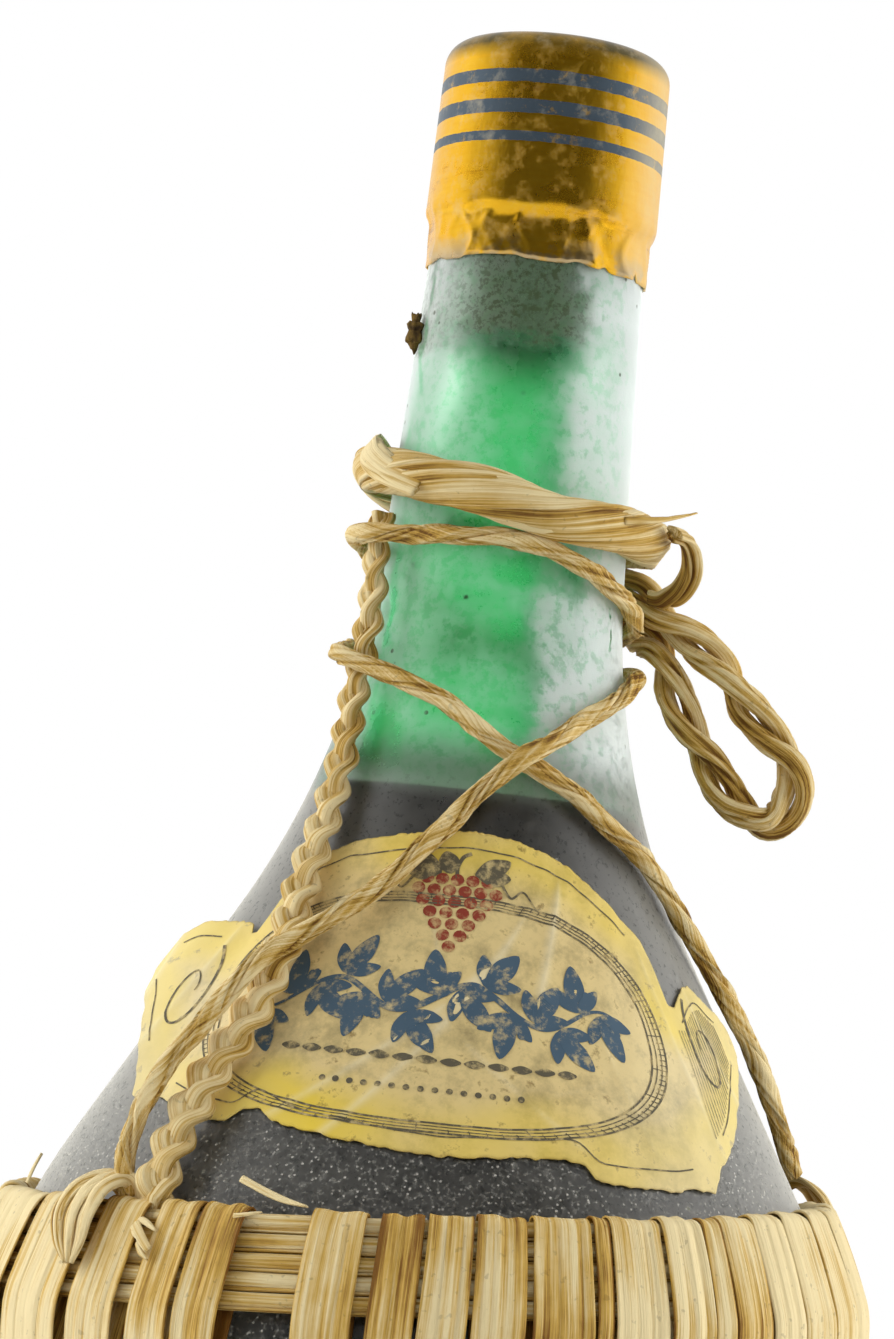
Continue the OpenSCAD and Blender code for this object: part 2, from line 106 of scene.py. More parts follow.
def glass(z):
    """Outside radius of the glass at a height, and the lean of its outward normal above level."""
    if z > FLARE_TOP_Z:
        return neck_at(z), NECK_TAPER
    if z > FLARE_LOW_Z:
        return FLARE_C[0] - math.sqrt(FLARE_R**2 - (z - FLARE_C[1]) ** 2), math.asin((FLARE_C[1] - z) / FLARE_R)
    if z > SHOULDER[1]:
        return SHOULDER[0] - (z - SHOULDER[1]) * math.tan(SHOULDER_LEAN), SHOULDER_LEAN
    if z > BULB_Z:
        return BULB_R - UPPER_ARC_R + math.sqrt(UPPER_ARC_R**2 - (z - BULB_Z) ** 2), math.asin((z - BULB_Z) / UPPER_ARC_R)
    if z > FOOT_END_Z:
        return BULB_R - LOWER_ARC_R + math.sqrt(LOWER_ARC_R**2 - (z - BULB_Z) ** 2), math.asin((z - BULB_Z) / LOWER_ARC_R)
    rise = max(-1.0, (z - FOOT_C[1]) / FOOT_ARC_R)
    return FOOT_C[0] + FOOT_ARC_R * math.sqrt(1 - rise * rise), math.asin(rise)


def skin(z, off):
    """Radius and height of a point at a distance off the glass."""
    r, lean = glass(z)
    return r + off * math.cos(lean), z + off * math.sin(lean)


def on_bearing(bearing, r, z):
    """A place from its bearing in degrees, 0 at the front and 90 on the right."""
    a = math.radians(bearing)
    return Vector((r * math.sin(a), -r * math.cos(a), z))


def on_glass(bearing, z, off):
    return on_bearing(bearing, *skin(z, off))


def ease(t):
    s = min(1.0, max(0.0, t))
    return s * s * (3 - 2 * s)


def along(route, s):
    """A point on the smooth line through a route's points."""
    last = len(route) - 1
    i = min(last - 1, int(s))
    t = s - i
    p = [np.array(route[max(0, min(last, i + k))], float) for k in (-1, 0, 1, 2)]
    return 0.5 * (
        2 * p[1] + (p[2] - p[0]) * t
        + (2 * p[0] - 5 * p[1] + 4 * p[2] - p[3]) * t * t
        + (3 * p[1] - p[0] - 3 * p[2] + p[3]) * t**3
    )


def wander(seed, count):
    """A smooth random line: a list of values near 0 that a position between 0 and 1 looks up."""
    rng = random.Random(seed)
    knots = [rng.uniform(-1, 1) for _ in range(count)]

    def value(t):
        s = min(1.0, max(0.0, t)) * (count - 1)
        i = min(count - 2, int(s))
        return knots[i] + (knots[i + 1] - knots[i]) * ease(s - i)

    return value


# Shapes


def deselect_all():
    """An operator acts on all that is selected, so each piece starts with nothing selected."""
    if bpy.context.object and bpy.context.object.mode != "OBJECT":
        bpy.ops.object.mode_set(mode="OBJECT")
    bpy.ops.object.select_all(action="DESELECT")


def apply_modifier(piece, kind, **settings):
    """Adds one modifier to a piece and applies it."""
    deselect_all()
    piece.select_set(True)
    bpy.context.view_layer.objects.active = piece
    modifier = piece.modifiers.new(kind.title(), kind)
    for key, value in settings.items():
        setattr(modifier, key, value)
    bpy.ops.object.modifier_apply(modifier=modifier.name)


def turned(name, section, steps=192):
    """A closed piece spun from its section, a list of (radius, height) that starts and ends on the axis."""
    deselect_all()
    bpy.ops.mesh.primitive_plane_add(size=MM, location=(0, 0, section[0][1] * MM))
    piece = bpy.context.object
    piece.name = piece.data.name = name
    bpy.ops.object.mode_set(mode="EDIT")
    bpy.ops.mesh.merge(type="CENTER")
    for (r0, z0), (r1, z1) in zip(section, section[1:]):
        bpy.ops.mesh.extrude_region_move(TRANSFORM_OT_translate={"value": ((r1 - r0) * MM, 0, (z1 - z0) * MM)})
    bpy.ops.mesh.select_all(action="SELECT")
    bpy.ops.mesh.spin(steps=steps, angle=2 * math.pi, center=(0, 0, 0), axis=(0, 0, 1))
    bpy.ops.mesh.select_all(action="SELECT")
    bpy.ops.mesh.remove_doubles(threshold=0.005 * MM)
    bpy.ops.mesh.normals_make_consistent(inside=False)
    bpy.ops.object.mode_set(mode="OBJECT")
    rest_at_origin(piece)
    bpy.ops.object.shade_smooth()
    return piece


def rest_at_origin(piece):
    """Puts the object at the origin with its place in its mesh."""
    deselect_all()
    piece.select_set(True)
    bpy.context.view_layer.objects.active = piece
    bpy.ops.object.transform_apply(location=True, rotation=True, scale=True)


def wrapped(name, columns, rows, place):
    """A grid whose every point goes to place(u, v), in millimetres, for u and v from 0 to 1."""
    deselect_all()
    bpy.ops.mesh.primitive_grid_add(x_subdivisions=columns, y_subdivisions=rows, size=1)
    piece = bpy.context.object
    piece.name = piece.data.name = name
    flat = np.empty(len(piece.data.vertices) * 3)
    piece.data.vertices.foreach_get("co", flat)
    flat = flat.reshape(-1, 3) + 0.5
    spots = np.array([place(min(1, max(0, u)), min(1, max(0, v))) for u, v, _ in flat], float)
    piece.data.vertices.foreach_set("co", (spots * MM).ravel())
    piece.data.update()
    bpy.ops.object.shade_smooth()
    return piece, flat[:, :2]


def write_grain(piece, grain, tone):
    """Stores on each point where it lies in the straw's fibres, in millimetres, and how dark the straw is."""
    lay = piece.data.attributes.new("grain", "FLOAT_VECTOR", "POINT")
    lay.data.foreach_set("vector", np.asarray(grain, np.float32).ravel())
    shade = piece.data.attributes.new("tone", "FLOAT", "POINT")
    shade.data.foreach_set("value", np.asarray(tone, np.float32).ravel())


def settle(piece, body, slot, material, *nodes):
    """Gives a finished piece its body and its material, and hides the CAD nodes it stands for; its slot is not used."""
    piece.data.materials.clear()
    piece.data.materials.append(material)
    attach(piece, body)
    if nodes:
        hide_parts(*nodes)


class Route:
    """Points at even steps along a smooth route, with the way out from the glass at each."""

    def __init__(self, stops, step=0.6, spot=on_glass, out=None):
        fine = [along(stops, i / 12) for i in range((len(stops) - 1) * 12 + 1)]
        line = np.array([spot(*p) for p in fine])
        outs = np.array([out or on_bearing(p[0], math.cos(glass(p[1])[1]), math.sin(glass(p[1])[1])) for p in fine])
        reach = np.concatenate([[0], np.cumsum(np.linalg.norm(np.diff(line, axis=0), axis=1))])
        self.length = reach[-1]
        self.s = np.linspace(0, self.length, max(4, int(self.length / step)))
        self.line = np.column_stack([np.interp(self.s, reach, line[:, k]) for k in range(3)])
        self.out = np.column_stack([np.interp(self.s, reach, outs[:, k]) for k in range(3)])

    def axes(self):
        """Unit vectors along the route, out from the glass and sideways at each point."""
        along_it = np.gradient(self.line, axis=0)
        along_it /= np.linalg.norm(along_it, axis=1)[:, None]
        up = self.out - (self.out * along_it).sum(1)[:, None] * along_it
        up /= np.linalg.norm(up, axis=1)[:, None]
        return along_it, up, np.cross(along_it, up)


class Strands:
    """The strands of one cord, gathered in one mesh."""

    def __init__(self, seed):
        self.rng = random.Random(seed)
        self.points, self.faces, self.grain, self.tone = [], [], [], []

    def add(self, route, side=0.0, lift=0.0, half_w=1.0, half_t=0.8, turn=0.0, tone=0.5, sides=18, closed=False, spin=0.0, folds=4):
        """One strand beside the route: side and lift move it off the route, turn rolls its oval section.

        Each of these is a number or one number for each point of the route. Spin winds the fibres round
        the strand, in radians a millimetre, and folds is how many grooves run along it.
        """
        n = len(route.s)
        side, lift, half_w, half_t, turn, tone = (np.broadcast_to(x, n) for x in (side, lift, half_w, half_t, turn, tone))
        _, up, across = route.axes()
        middle = route.line + side[:, None] * across + lift[:, None] * up
        wide = np.cos(turn)[:, None] * across + np.sin(turn)[:, None] * up
        thick = -np.sin(turn)[:, None] * across + np.cos(turn)[:, None] * up
        ridges = [(k, self.rng.uniform(0, 6.3), self.rng.uniform(0.02, 0.05)) for k in (3, 5, 7, 8)]
        swell = wander(self.rng.random(), max(4, int(route.length / 9)))
        plump = np.array([1 + 0.08 * swell(x / route.length) for x in route.s])
        first = sum(len(p) for p in self.points)
        shift = self.rng.uniform(0, 400)
        pleats = []
        for _ in range(0 if closed else folds):
            drift = wander(self.rng.random(), max(4, int(route.length / 14)))
            start, deep = self.rng.uniform(0, 6.3), self.rng.uniform(0.12, 0.26)
            pleats.append((np.array([start + 0.9 * drift(x / route.length) for x in route.s]), deep))
        for k in range(sides):
            a = 2 * math.pi * k / sides
            size = plump * (1 + sum(amp * math.sin(f * a + ph) for f, ph, amp in ridges))
            for at, deep in pleats:
                gap = (a - at + math.pi) % (2 * math.pi) - math.pi
                size = size * (1 - deep * np.exp(-((gap / 0.26) ** 2)))
            self.points.append(middle + (half_w * size * math.cos(a))[:, None] * wide + (half_t * size * math.sin(a))[:, None] * thick)
            wound = a + spin * route.s
            self.grain.append(np.column_stack([half_w * np.cos(wound) + shift, half_t * np.sin(wound), route.s + shift]))
            # Painted shade: the tone is raised where ridges and pleats pull the section in, so the grooves are painted
            # darker.
            self.tone.append(tone + 1.1 * (1 - size / plump))
        for k in range(sides):
            a, b = first + k * n, first + (k + 1) % sides * n
            self.faces += [(a + i, b + i, b + i + 1, a + i + 1) for i in range(n - 1)]
            if closed:
                self.faces.append((a + n - 1, b + n - 1, b, a))
        if not closed:
            self.faces.append(tuple(first + k * n for k in reversed(range(sides))))
            self.faces.append(tuple(first + k * n + n - 1 for k in range(sides)))

    def build(self, name):
        mesh = bpy.data.meshes.new(name)
        mesh.from_pydata((np.concatenate(self.points) * MM).tolist(), [], self.faces)
        piece = bpy.data.objects.new(name, mesh)
        bpy.context.scene.collection.objects.link(piece)
        write_grain(piece, np.concatenate(self.grain), np.concatenate(self.tone))
        deselect_all()
        piece.select_set(True)
        bpy.context.view_layer.objects.active = piece
        bpy.ops.object.mode_set(mode="EDIT")
        bpy.ops.mesh.select_all(action="SELECT")
        bpy.ops.mesh.normals_make_consistent(inside=False)
        bpy.ops.object.mode_set(mode="OBJECT")
        bpy.ops.object.shade_smooth()
        return piece


def twist(strands, route, width, plies, pitch, tone=0.5, flat=1.0, closed=False, plump=1.0, tight=1.0, spin=0.0):
    """Lays plies round each other along the route, as in a twisted cord of this width."""
    width = np.broadcast_to(width, len(route.s))
    turns = route.length / pitch
    if closed:
        turns = round(turns)
    for k in range(plies):
        a = 2 * math.pi * (route.s / route.length * turns + k / plies)
        loose = np.array([0.25 * wander(k + plies, 12)(x / route.length) for x in route.s]) * (0 if closed else 1)
        a = a + loose
        reach = width * (0.25 if plies == 2 else 0.28) * tight
        strands.add(
            route, side=reach * np.cos(a), lift=reach * np.sin(a) * flat, half_w=width * 0.3 * plump, half_t=width * 0.235 * flat,
            turn=a + math.pi / 2, tone=tone + strands.rng.uniform(-0.14, 0.14), closed=closed, spin=spin)


def plait(strands, route, width, pitch, tone=0.5):
    """Braids three strands along the route."""
    width = np.broadcast_to(width, len(route.s))
    for k in range(3):
        a = 2 * math.pi * (route.s / pitch + k / 3)
        lean = np.arctan2(width * 0.18 * np.cos(a) * 2 * math.pi / pitch, 1)
        strands.add(
            route, side=width * 0.18 * np.sin(a), lift=width * 0.14 * np.sin(2 * a), half_w=width * 0.31 / np.cos(lean) ** 0.5,
            half_t=width * 0.21, turn=0.45 * np.cos(a), tone=tone + strands.rng.uniform(-0.12, 0.12))


# Materials


def new_material(name):
    material = bpy.data.materials.new(name)
    material.use_nodes = True
    return material, material.node_tree


def node(tree, kind, inputs=(), **settings):
    """Adds a node; an input is a value or the output of another node."""
    made = tree.nodes.new("ShaderNode" + kind)
    for key, value in settings.items():
        setattr(made, key, value)
    for key, value in dict(inputs).items():
        if isinstance(value, bpy.types.NodeSocket):
            tree.links.new(value, made.inputs[key])
        else:
            made.inputs[key].default_value = value
    return made


def maths(tree, operation, a, b=0.0, clamp=False):
    return node(tree, "Math", {0: a, 1: b}, operation=operation, use_clamp=clamp).outputs[0]


def stretched(tree, vector, scale, place=(0, 0, 0)):
    return node(tree, "Mapping", {"Vector": vector, "Scale": scale, "Location": place}).outputs[0]


def noise(tree, vector, scale, detail=4.0, rough=0.5):
    return node(tree, "TexNoise", {"Vector": vector, "Scale": scale, "Detail": detail, "Roughness": rough}).outputs["Fac"]


def ramp(tree, fac, *stops):
    """A colour ramp through (position, colour) stops; a colour may be one number."""
    made = node(tree, "ValToRGB", {"Fac": fac})
    elements = made.color_ramp.elements
    while len(elements) < len(stops):
        elements.new(0.5)
    for element, (position, colour) in zip(elements, stops):
        element.position = position
        element.color = (*colour, 1) if hasattr(colour, "__len__") else (colour, colour, colour, 1)
    return made.outputs["Color"]


def between(tree, fac, a, b, blend="MIX"):
    """Mixes two colours."""
    made = node(tree, "Mix", data_type="RGBA", blend_type=blend)
    for index, value in ((0, fac), (6, a), (7, b)):
        if isinstance(value, bpy.types.NodeSocket):
            tree.links.new(value, made.inputs[index])
        else:
            made.inputs[index].default_value = value if index == 0 else (*value, 1)
    return made.outputs[2]


def shader(tree, **inputs):
    """Sets the material's own shader; a name's underscores stand for spaces."""
    made = tree.nodes["Principled BSDF"]
    for key, value in inputs.items():
        socket = made.inputs[key.replace("_", " ")]
        if isinstance(value, bpy.types.NodeSocket):
            tree.links.new(value, socket)
        else:
            socket.default_value = (*value, 1) if socket.type == "RGBA" and len(value) == 3 else value
    return made


def bump(tree, height, distance, strength=1.0, normal=None):
    inputs = {"Height": height, "Distance": distance, "Strength": strength}
    if normal is not None:
        inputs["Normal"] = normal
    return node(tree, "Bump", inputs).outputs["Normal"]


def object_spot(tree):
    return node(tree, "TexCoord").outputs["Object"]


def straw_material(name, dark, mid, light, fibre=1.0, rough=0.62):
    """Dried leaf or straw: fine ridges along the fibres, streaks, stains and a faint gloss."""
    material, tree = new_material(name)
    grain = node(tree, "Attribute", attribute_name="grain").outputs["Vector"]
    tone = node(tree, "Attribute", attribute_name="tone").outputs["Fac"]
    fine = noise(tree, stretched(tree, grain, (4.2 * fibre, 4.2 * fibre, 0.06)), 1.0, 6, 0.65)
    streak = noise(tree, stretched(tree, grain, (1.25 * fibre, 1.25 * fibre, 0.03)), 1.0, 4, 0.6)
    stain = noise(tree, object_spot(tree), 60, 5, 0.62)
    speck = noise(tree, object_spot(tree), 900, 2, 0.5)
    shade = maths(tree, "ADD", maths(tree, "MULTIPLY", fine, 0.62), maths(tree, "MULTIPLY", streak, 0.7))
    shade = maths(tree, "ADD", shade, maths(tree, "MULTIPLY", stain, 0.4))
    # The tone darkens the straw: it holds the straw's own tone and also painted shade in grooves and between strips,
    # and painted light that lightens strips towards the sides.
    shade = maths(tree, "SUBTRACT", shade, maths(tree, "MULTIPLY", tone, 0.5))
    colour = ramp(tree, shade, (0.47, dark), (0.61, mid), (0.80, light))
    marks = ramp(tree, speck, (0.66, 0.0), (0.72, 1.0))
    colour = between(tree, maths(tree, "MULTIPLY", marks, 0.25), colour, tuple(0.35 * c for c in dark))
    normal = bump(tree, maths(tree, "ADD", fine, maths(tree, "MULTIPLY", streak, 0.9)), 0.00032, 1.0)
    gloss = maths(tree, "ADD", maths(tree, "MULTIPLY", fine, 0.3), rough - 0.15)
    shader(tree, Base_Color=colour, Roughness=gloss, Normal=normal, Specular_IOR_Level=0.4)
    return material


# Where the film on the glass is rubbed off: bearing, height, half width and half height in millimetres, share gone
WIPED = (
    (0, 229, 4.2, 15, 1.0), (3, 214, 3.4, 7, 0.9), (12, 198, 5.0, 3.6, 0.9), (8, 190, 4.5, 2.6, 0.8), (-8, 193, 5.0, 2.0, 0.6),
    (-54, 190, 1.6, 15, 1.0), (-45, 175, 3.4, 6, 1.0), (64, 193.5, 0.7, 7.5, 1.0), (34, 197, 2.6, 3.0, 0.9), (22, 205, 5, 2.6, 0.8),
    (-20, 203, 6, 2.0, 0.6), (-66, 226, 1.2, 16, 0.7), (6, 178, 5, 2.0, 0.5), (-24, 180, 3, 4, 0.5))


def glass_material(tint, milk, dust, amount):
    """Old green bottle glass: milky inside, wiped clear in places, with dust that thickens down the shoulder, and
    painted light that makes it paler on its lit side and above the wine.
    """
    material, tree = new_material("dusty_green_glass")
    spot = object_spot(tree)
    split = node(tree, "SeparateXYZ", {0: spot}).outputs
    height = split["Z"]
    ripple = node(tree, "TexNoise", {"Vector": spot, "Scale": 130.0, "Detail": 4.0}).outputs["Color"]
    shaken = node(tree, "VectorMath", {0: ripple, 1: (0.5, 0.5, 0.5)}, operation="SUBTRACT").outputs[0]
    shaken = node(tree, "VectorMath", {0: shaken, "Scale": 0.013}, operation="SCALE").outputs[0]
    shaken = node(tree, "VectorMath", {0: spot, 1: shaken}, operation="ADD").outputs[0]
    wiped = None
    for bearing, z, half_w, half_h, share in WIPED:
        middle = on_glass(bearing, z, 0) * MM
        scale = (1000 / half_w, 1000 / half_w, 1000 / half_h)
        inner = stretched(tree, shaken, scale, tuple(-m * k for m, k in zip(middle, scale)))
        reach = node(tree, "VectorMath", {0: inner}, operation="LENGTH").outputs["Value"]
        patch = node(tree, "MapRange", {"Value": reach, "From Min": 1.3, "From Max": 0.4, "To Min": 0.0, "To Max": share}, interpolation_type="SMOOTHSTEP").outputs[0]
        wiped = patch if wiped is None else maths(tree, "MAXIMUM", wiped, patch)
    kept = maths(tree, "SUBTRACT", 1.0, wiped)
    cloud = noise(tree, stretched(tree, spot, (1, 1, 0.7)), 46, 5, 0.6)
    smear = noise(tree, stretched(tree, spot, (1, 1, 2.4)), 85, 6, 0.68)
    film = maths(tree, "ADD", maths(tree, "MULTIPLY", cloud, 0.6), maths(tree, "MULTIPLY", smear, 0.4))
    film = maths(tree, "MULTIPLY", ramp(tree, film, (0.38, 0.25), (0.62, 1.0)), kept)
    pits = ramp(tree, noise(tree, spot, 620, 4, 0.7), (0.40, 0.25), (0.52, 1.0))
    film = maths(tree, "MULTIPLY", film, pits)
    below = node(tree, "MapRange", {"Value": height, "From Min": 0.1725, "From Max": 0.1655, "To Min": 0.0, "To Max": 1.0}, interpolation_type="SMOOTHSTEP").outputs[0]
    shoulder = node(tree, "MapRange", {"Value": height, "From Min": 0.166, "From Max": 0.112, "To Min": 0.0, "To Max": 1.0}).outputs[0]
    # Painted light: the mask below makes the neck paler and hazier on its lit right side, above the wine; it also takes
    # in the upper left of the neck.
    right = node(tree, "MapRange", {"Value": node(tree, "SeparateXYZ", {0: shaken}).outputs["X"], "From Min": 0.0035, "From Max": 0.0085, "To Min": 0.0, "To Max": 1.0}, interpolation_type="SMOOTHSTEP").outputs[0]
    left = node(tree, "MapRange", {"Value": split["X"], "From Min": -0.005, "From Max": -0.013, "To Min": 0.0, "To Max": 1.0}, interpolation_type="SMOOTHSTEP").outputs[0]
    high = node(tree, "MapRange", {"Value": height, "From Min": 0.208, "From Max": 0.236, "To Min": 0.0, "To Max": 0.8}).outputs[0]
    right = maths(tree, "MULTIPLY", maths(tree, "MAXIMUM", right, maths(tree, "MULTIPLY", left, high)), maths(tree, "SUBTRACT", 1.0, below))
    ring = node(tree, "MapRange", {"Value": maths(tree, "ADD", height, maths(tree, "MULTIPLY", cloud, 0.006)), "From Min": 0.1805, "From Max": 0.1715, "To Min": 0.0, "To Max": 0.9}, interpolation_type="SMOOTHSTEP").outputs[0]
    ring = maths(tree, "MULTIPLY", ring, maths(tree, "SUBTRACT", 1.0, below))
    corked = node(tree, "MapRange", {"Value": maths(tree, "ADD", height, maths(tree, "MULTIPLY", smear, 0.016)), "From Min": 0.2345, "From Max": 0.2375, "To Min": 0.0, "To Max": 1.0}).outputs[0]
    corked = maths(tree, "MULTIPLY", corked, maths(tree, "SUBTRACT", 1.0, right))
    mould = maths(tree, "MULTIPLY", corked, ramp(tree, noise(tree, spot, 1100, 4, 0.7), (0.47, 0.0), (0.58, 0.85)))
    edge = node(tree, "LayerWeight", {"Blend": 0.3}).outputs["Facing"]
    grit = noise(tree, spot, 1700, 3, 0.6)
    fine_grit = ramp(tree, grit, (0.52, 0.0), (0.68, 1.0))
    patchy = ramp(tree, noise(tree, spot, 170, 3), (0.32, 0.12), (0.58, 1.0))
    coarse = node(tree, "TexVoronoi", {"Vector": spot, "Scale": 1250.0}).outputs["Distance"]
    grains = maths(tree, "MULTIPLY", ramp(tree, coarse, (0.12, 1.0), (0.27, 0.0)), patchy)
    cover = maths(tree, "MULTIPLY", kept, maths(tree, "MULTIPLY", maths(tree, "POWER", edge, 1.8), 1.2))
    # The haze is real dust and painted light: it thickens the cover on the lit side.
    haze = maths(tree, "MULTIPLY", maths(tree, "MULTIPLY", right, kept), maths(tree, "ADD", maths(tree, "MULTIPLY", film, 0.45), 0.22))
    cover = maths(tree, "ADD", cover, haze)
    cover = maths(tree, "ADD", cover, maths(tree, "MULTIPLY", film, maths(tree, "ADD", maths(tree, "MULTIPLY", shoulder, 0.06), 0.02)))
    cover = maths(tree, "ADD", cover, maths(tree, "MULTIPLY", fine_grit, maths(tree, "ADD", maths(tree, "MULTIPLY", film, 0.04), maths(tree, "MULTIPLY", shoulder, 0.2))))
    cover = maths(tree, "ADD", cover, maths(tree, "MULTIPLY", maths(tree, "MULTIPLY", grains, maths(tree, "ADD", maths(tree, "POWER", shoulder, 1.3), 0.04)), 0.8))
    cover = maths(tree, "MULTIPLY", cover, amount, clamp=True)
    specks = node(tree, "TexVoronoi", {"Vector": spot, "Scale": 260.0}).outputs["Distance"]
    specks = maths(tree, "MULTIPLY", ramp(tree, specks, (0.06, 1.0), (0.10, 0.0)), ramp(tree, noise(tree, spot, 90, 2), (0.48, 0.0), (0.54, 1.0)))
    # Painted light: on the lit right side the glass is tinted near white.
    colour = between(tree, film, tint, between(tree, right, milk, (0.84, 0.93, 0.88)))
    # Painted light: the dust is painted pale above the wine, where light through the neck brightens it, and keeps the
    # dust colour below.
    dust_painted_paler_above_wine = between(tree, below, (0.82, 0.88, 0.85), dust)
    grey = maths(tree, "MAXIMUM", below, maths(tree, "MULTIPLY", cover, 1.8), clamp=True)
    colour = between(tree, grey, colour, dust_painted_paler_above_wine)
    colour = between(tree, ring, colour, (0.12, 0.15, 0.09))
    colour = between(tree, maths(tree, "MULTIPLY", corked, 0.75), colour, (0.30, 0.33, 0.22))
    soil = ramp(tree, noise(tree, spot, 1150, 4, 0.7), (0.56, 0.0), (0.64, 0.6))
    soil = maths(tree, "MULTIPLY", soil, maths(tree, "MULTIPLY", below, kept))
    dark = maths(tree, "MAXIMUM", maths(tree, "MAXIMUM", maths(tree, "MULTIPLY", specks, 0.8), mould), soil)
    colour = between(tree, dark, colour, (0.035, 0.045, 0.012))
    clear = maths(tree, "SUBTRACT", 1.0, maths(tree, "MAXIMUM", maths(tree, "MAXIMUM", cover, maths(tree, "MULTIPLY", ring, 0.55)), maths(tree, "MAXIMUM", maths(tree, "MAXIMUM", specks, mould), maths(tree, "MULTIPLY", corked, 0.3))), clamp=True)
    normal = bump(tree, noise(tree, stretched(tree, spot, (1, 1, 0.5)), 32, 2, 0.4), 0.0012, 0.35)
    normal = bump(tree, maths(tree, "MULTIPLY", grit, cover), 0.0001, 0.4, normal)
    rough = maths(tree, "ADD", maths(tree, "MULTIPLY", film, 0.14), maths(tree, "ADD", maths(tree, "MULTIPLY", cover, 0.3), 0.26))
    shader(tree, Base_Color=colour, Roughness=rough, Transmission_Weight=clear, IOR=1.5, Normal=normal, Specular_IOR_Level=0.5)
    return material


def wine_material():
    material, tree = new_material("old_wine")
    haze = noise(tree, object_spot(tree), 60, 4)
    shader(tree, Base_Color=ramp(tree, haze, (0.3, (0.016, 0.014, 0.010)), (0.7, (0.032, 0.028, 0.020))), Roughness=0.5, Specular_IOR_Level=0.1)
    return material


def cork_material():
    material, tree = new_material("wet_cork")
    spot = object_spot(tree)
    pits = noise(tree, spot, 520, 5, 0.7)
    colour = ramp(tree, noise(tree, spot, 180, 5, 0.6), (0.35, (0.02, 0.022, 0.01)), (0.65, (0.09, 0.085, 0.04)))
    shader(tree, Base_Color=colour, Roughness=0.7, Normal=bump(tree, pits, 0.0004))
    return material


def foil_material(gold, brown, band):
    """Painted foil: golden orange with slate bands, tarnished at its top edge, rubbed and dusty, and painted pale on
    its lit right side.
    """
    material, tree = new_material("painted_foil")
    spot = object_spot(tree)
    height = node(tree, "SeparateXYZ", {0: spot}).outputs["Z"]
    worn = noise(tree, spot, 95, 6, 0.68)
    fine = noise(tree, stretched(tree, spot, (1, 1, 9)), 160, 5, 0.6)
    colour = ramp(tree, maths(tree, "ADD", maths(tree, "MULTIPLY", worn, 0.6), maths(tree, "MULTIPLY", fine, 0.4)), (0.30, brown), (0.43, gold), (0.7, tuple(min(1, c * 1.15 + 0.02) for c in gold)))
    ragged = maths(tree, "ADD", height, maths(tree, "MULTIPLY", noise(tree, spot, 700, 3), 0.0003))
    bands = None
    for low, high in ((0.25445, 0.25575), (0.25820, 0.26010), (0.26240, 0.26420)):
        above = maths(tree, "GREATER_THAN", ragged, low + 0.00015)
        below = maths(tree, "LESS_THAN", ragged, high + 0.00015)
        stripe = maths(tree, "MULTIPLY", above, below)
        bands = stripe if bands is None else maths(tree, "MAXIMUM", bands, stripe)
    rubbed = ramp(tree, noise(tree, spot, 420, 5, 0.7), (0.30, 0.55), (0.42, 1.0))
    inked = maths(tree, "MULTIPLY", bands, rubbed)
    colour = between(tree, inked, colour, band)
    top = node(tree, "MapRange", {"Value": ragged, "From Min": 0.2662, "From Max": 0.2682}).outputs[0]
    tarnish = maths(tree, "MULTIPLY", top, ramp(tree, worn, (0.35, 0.6), (0.6, 1.0)))
    colour = between(tree, tarnish, colour, (0.10, 0.075, 0.02))
    low_edge = node(tree, "MapRange", {"Value": height, "From Min": 0.2425, "From Max": 0.2392}).outputs[0]
    bare = maths(tree, "MULTIPLY", low_edge, ramp(tree, noise(tree, spot, 240, 4), (0.46, 0.0), (0.56, 1.0)))
    colour = between(tree, maths(tree, "MULTIPLY", bare, 0.7), colour, (0.45, 0.42, 0.34))
    dust = ramp(tree, noise(tree, spot, 330, 6, 0.7), (0.5, 0.0), (0.75, 0.4))
    # Painted reflection with real dust: near its right edge the foil is painted pale and less metallic where it catches
    # light.
    right = node(tree, "MapRange", {"Value": node(tree, "SeparateXYZ", {0: spot}).outputs["X"], "From Min": 0.0095, "From Max": 0.0145, "To Min": 0.0, "To Max": 0.55}).outputs[0]
    dust = maths(tree, "MAXIMUM", dust, maths(tree, "MULTIPLY", right, ramp(tree, worn, (0.35, 0.4), (0.6, 1.0))))
    colour = between(tree, dust, colour, (0.66, 0.56, 0.36))
    metal = maths(tree, "SUBTRACT", 0.95, maths(tree, "ADD", maths(tree, "MULTIPLY", inked, 0.55), maths(tree, "ADD", dust, maths(tree, "MULTIPLY", tarnish, 0.3))), clamp=True)
    rough = maths(tree, "ADD", 0.22, maths(tree, "ADD", maths(tree, "MULTIPLY", worn, 0.12), maths(tree, "ADD", maths(tree, "MULTIPLY", dust, 0.4), maths(tree, "MULTIPLY", inked, 0.12))))
    normal = bump(tree, noise(tree, stretched(tree, spot, (1, 1, 0.4)), 120, 5, 0.6), 0.0003, 0.6)
    normal = bump(tree, noise(tree, spot, 900, 3), 0.00004, 0.5, normal)
    shader(tree, Base_Color=colour, Metallic=metal, Roughness=rough, Normal=normal)
    return material


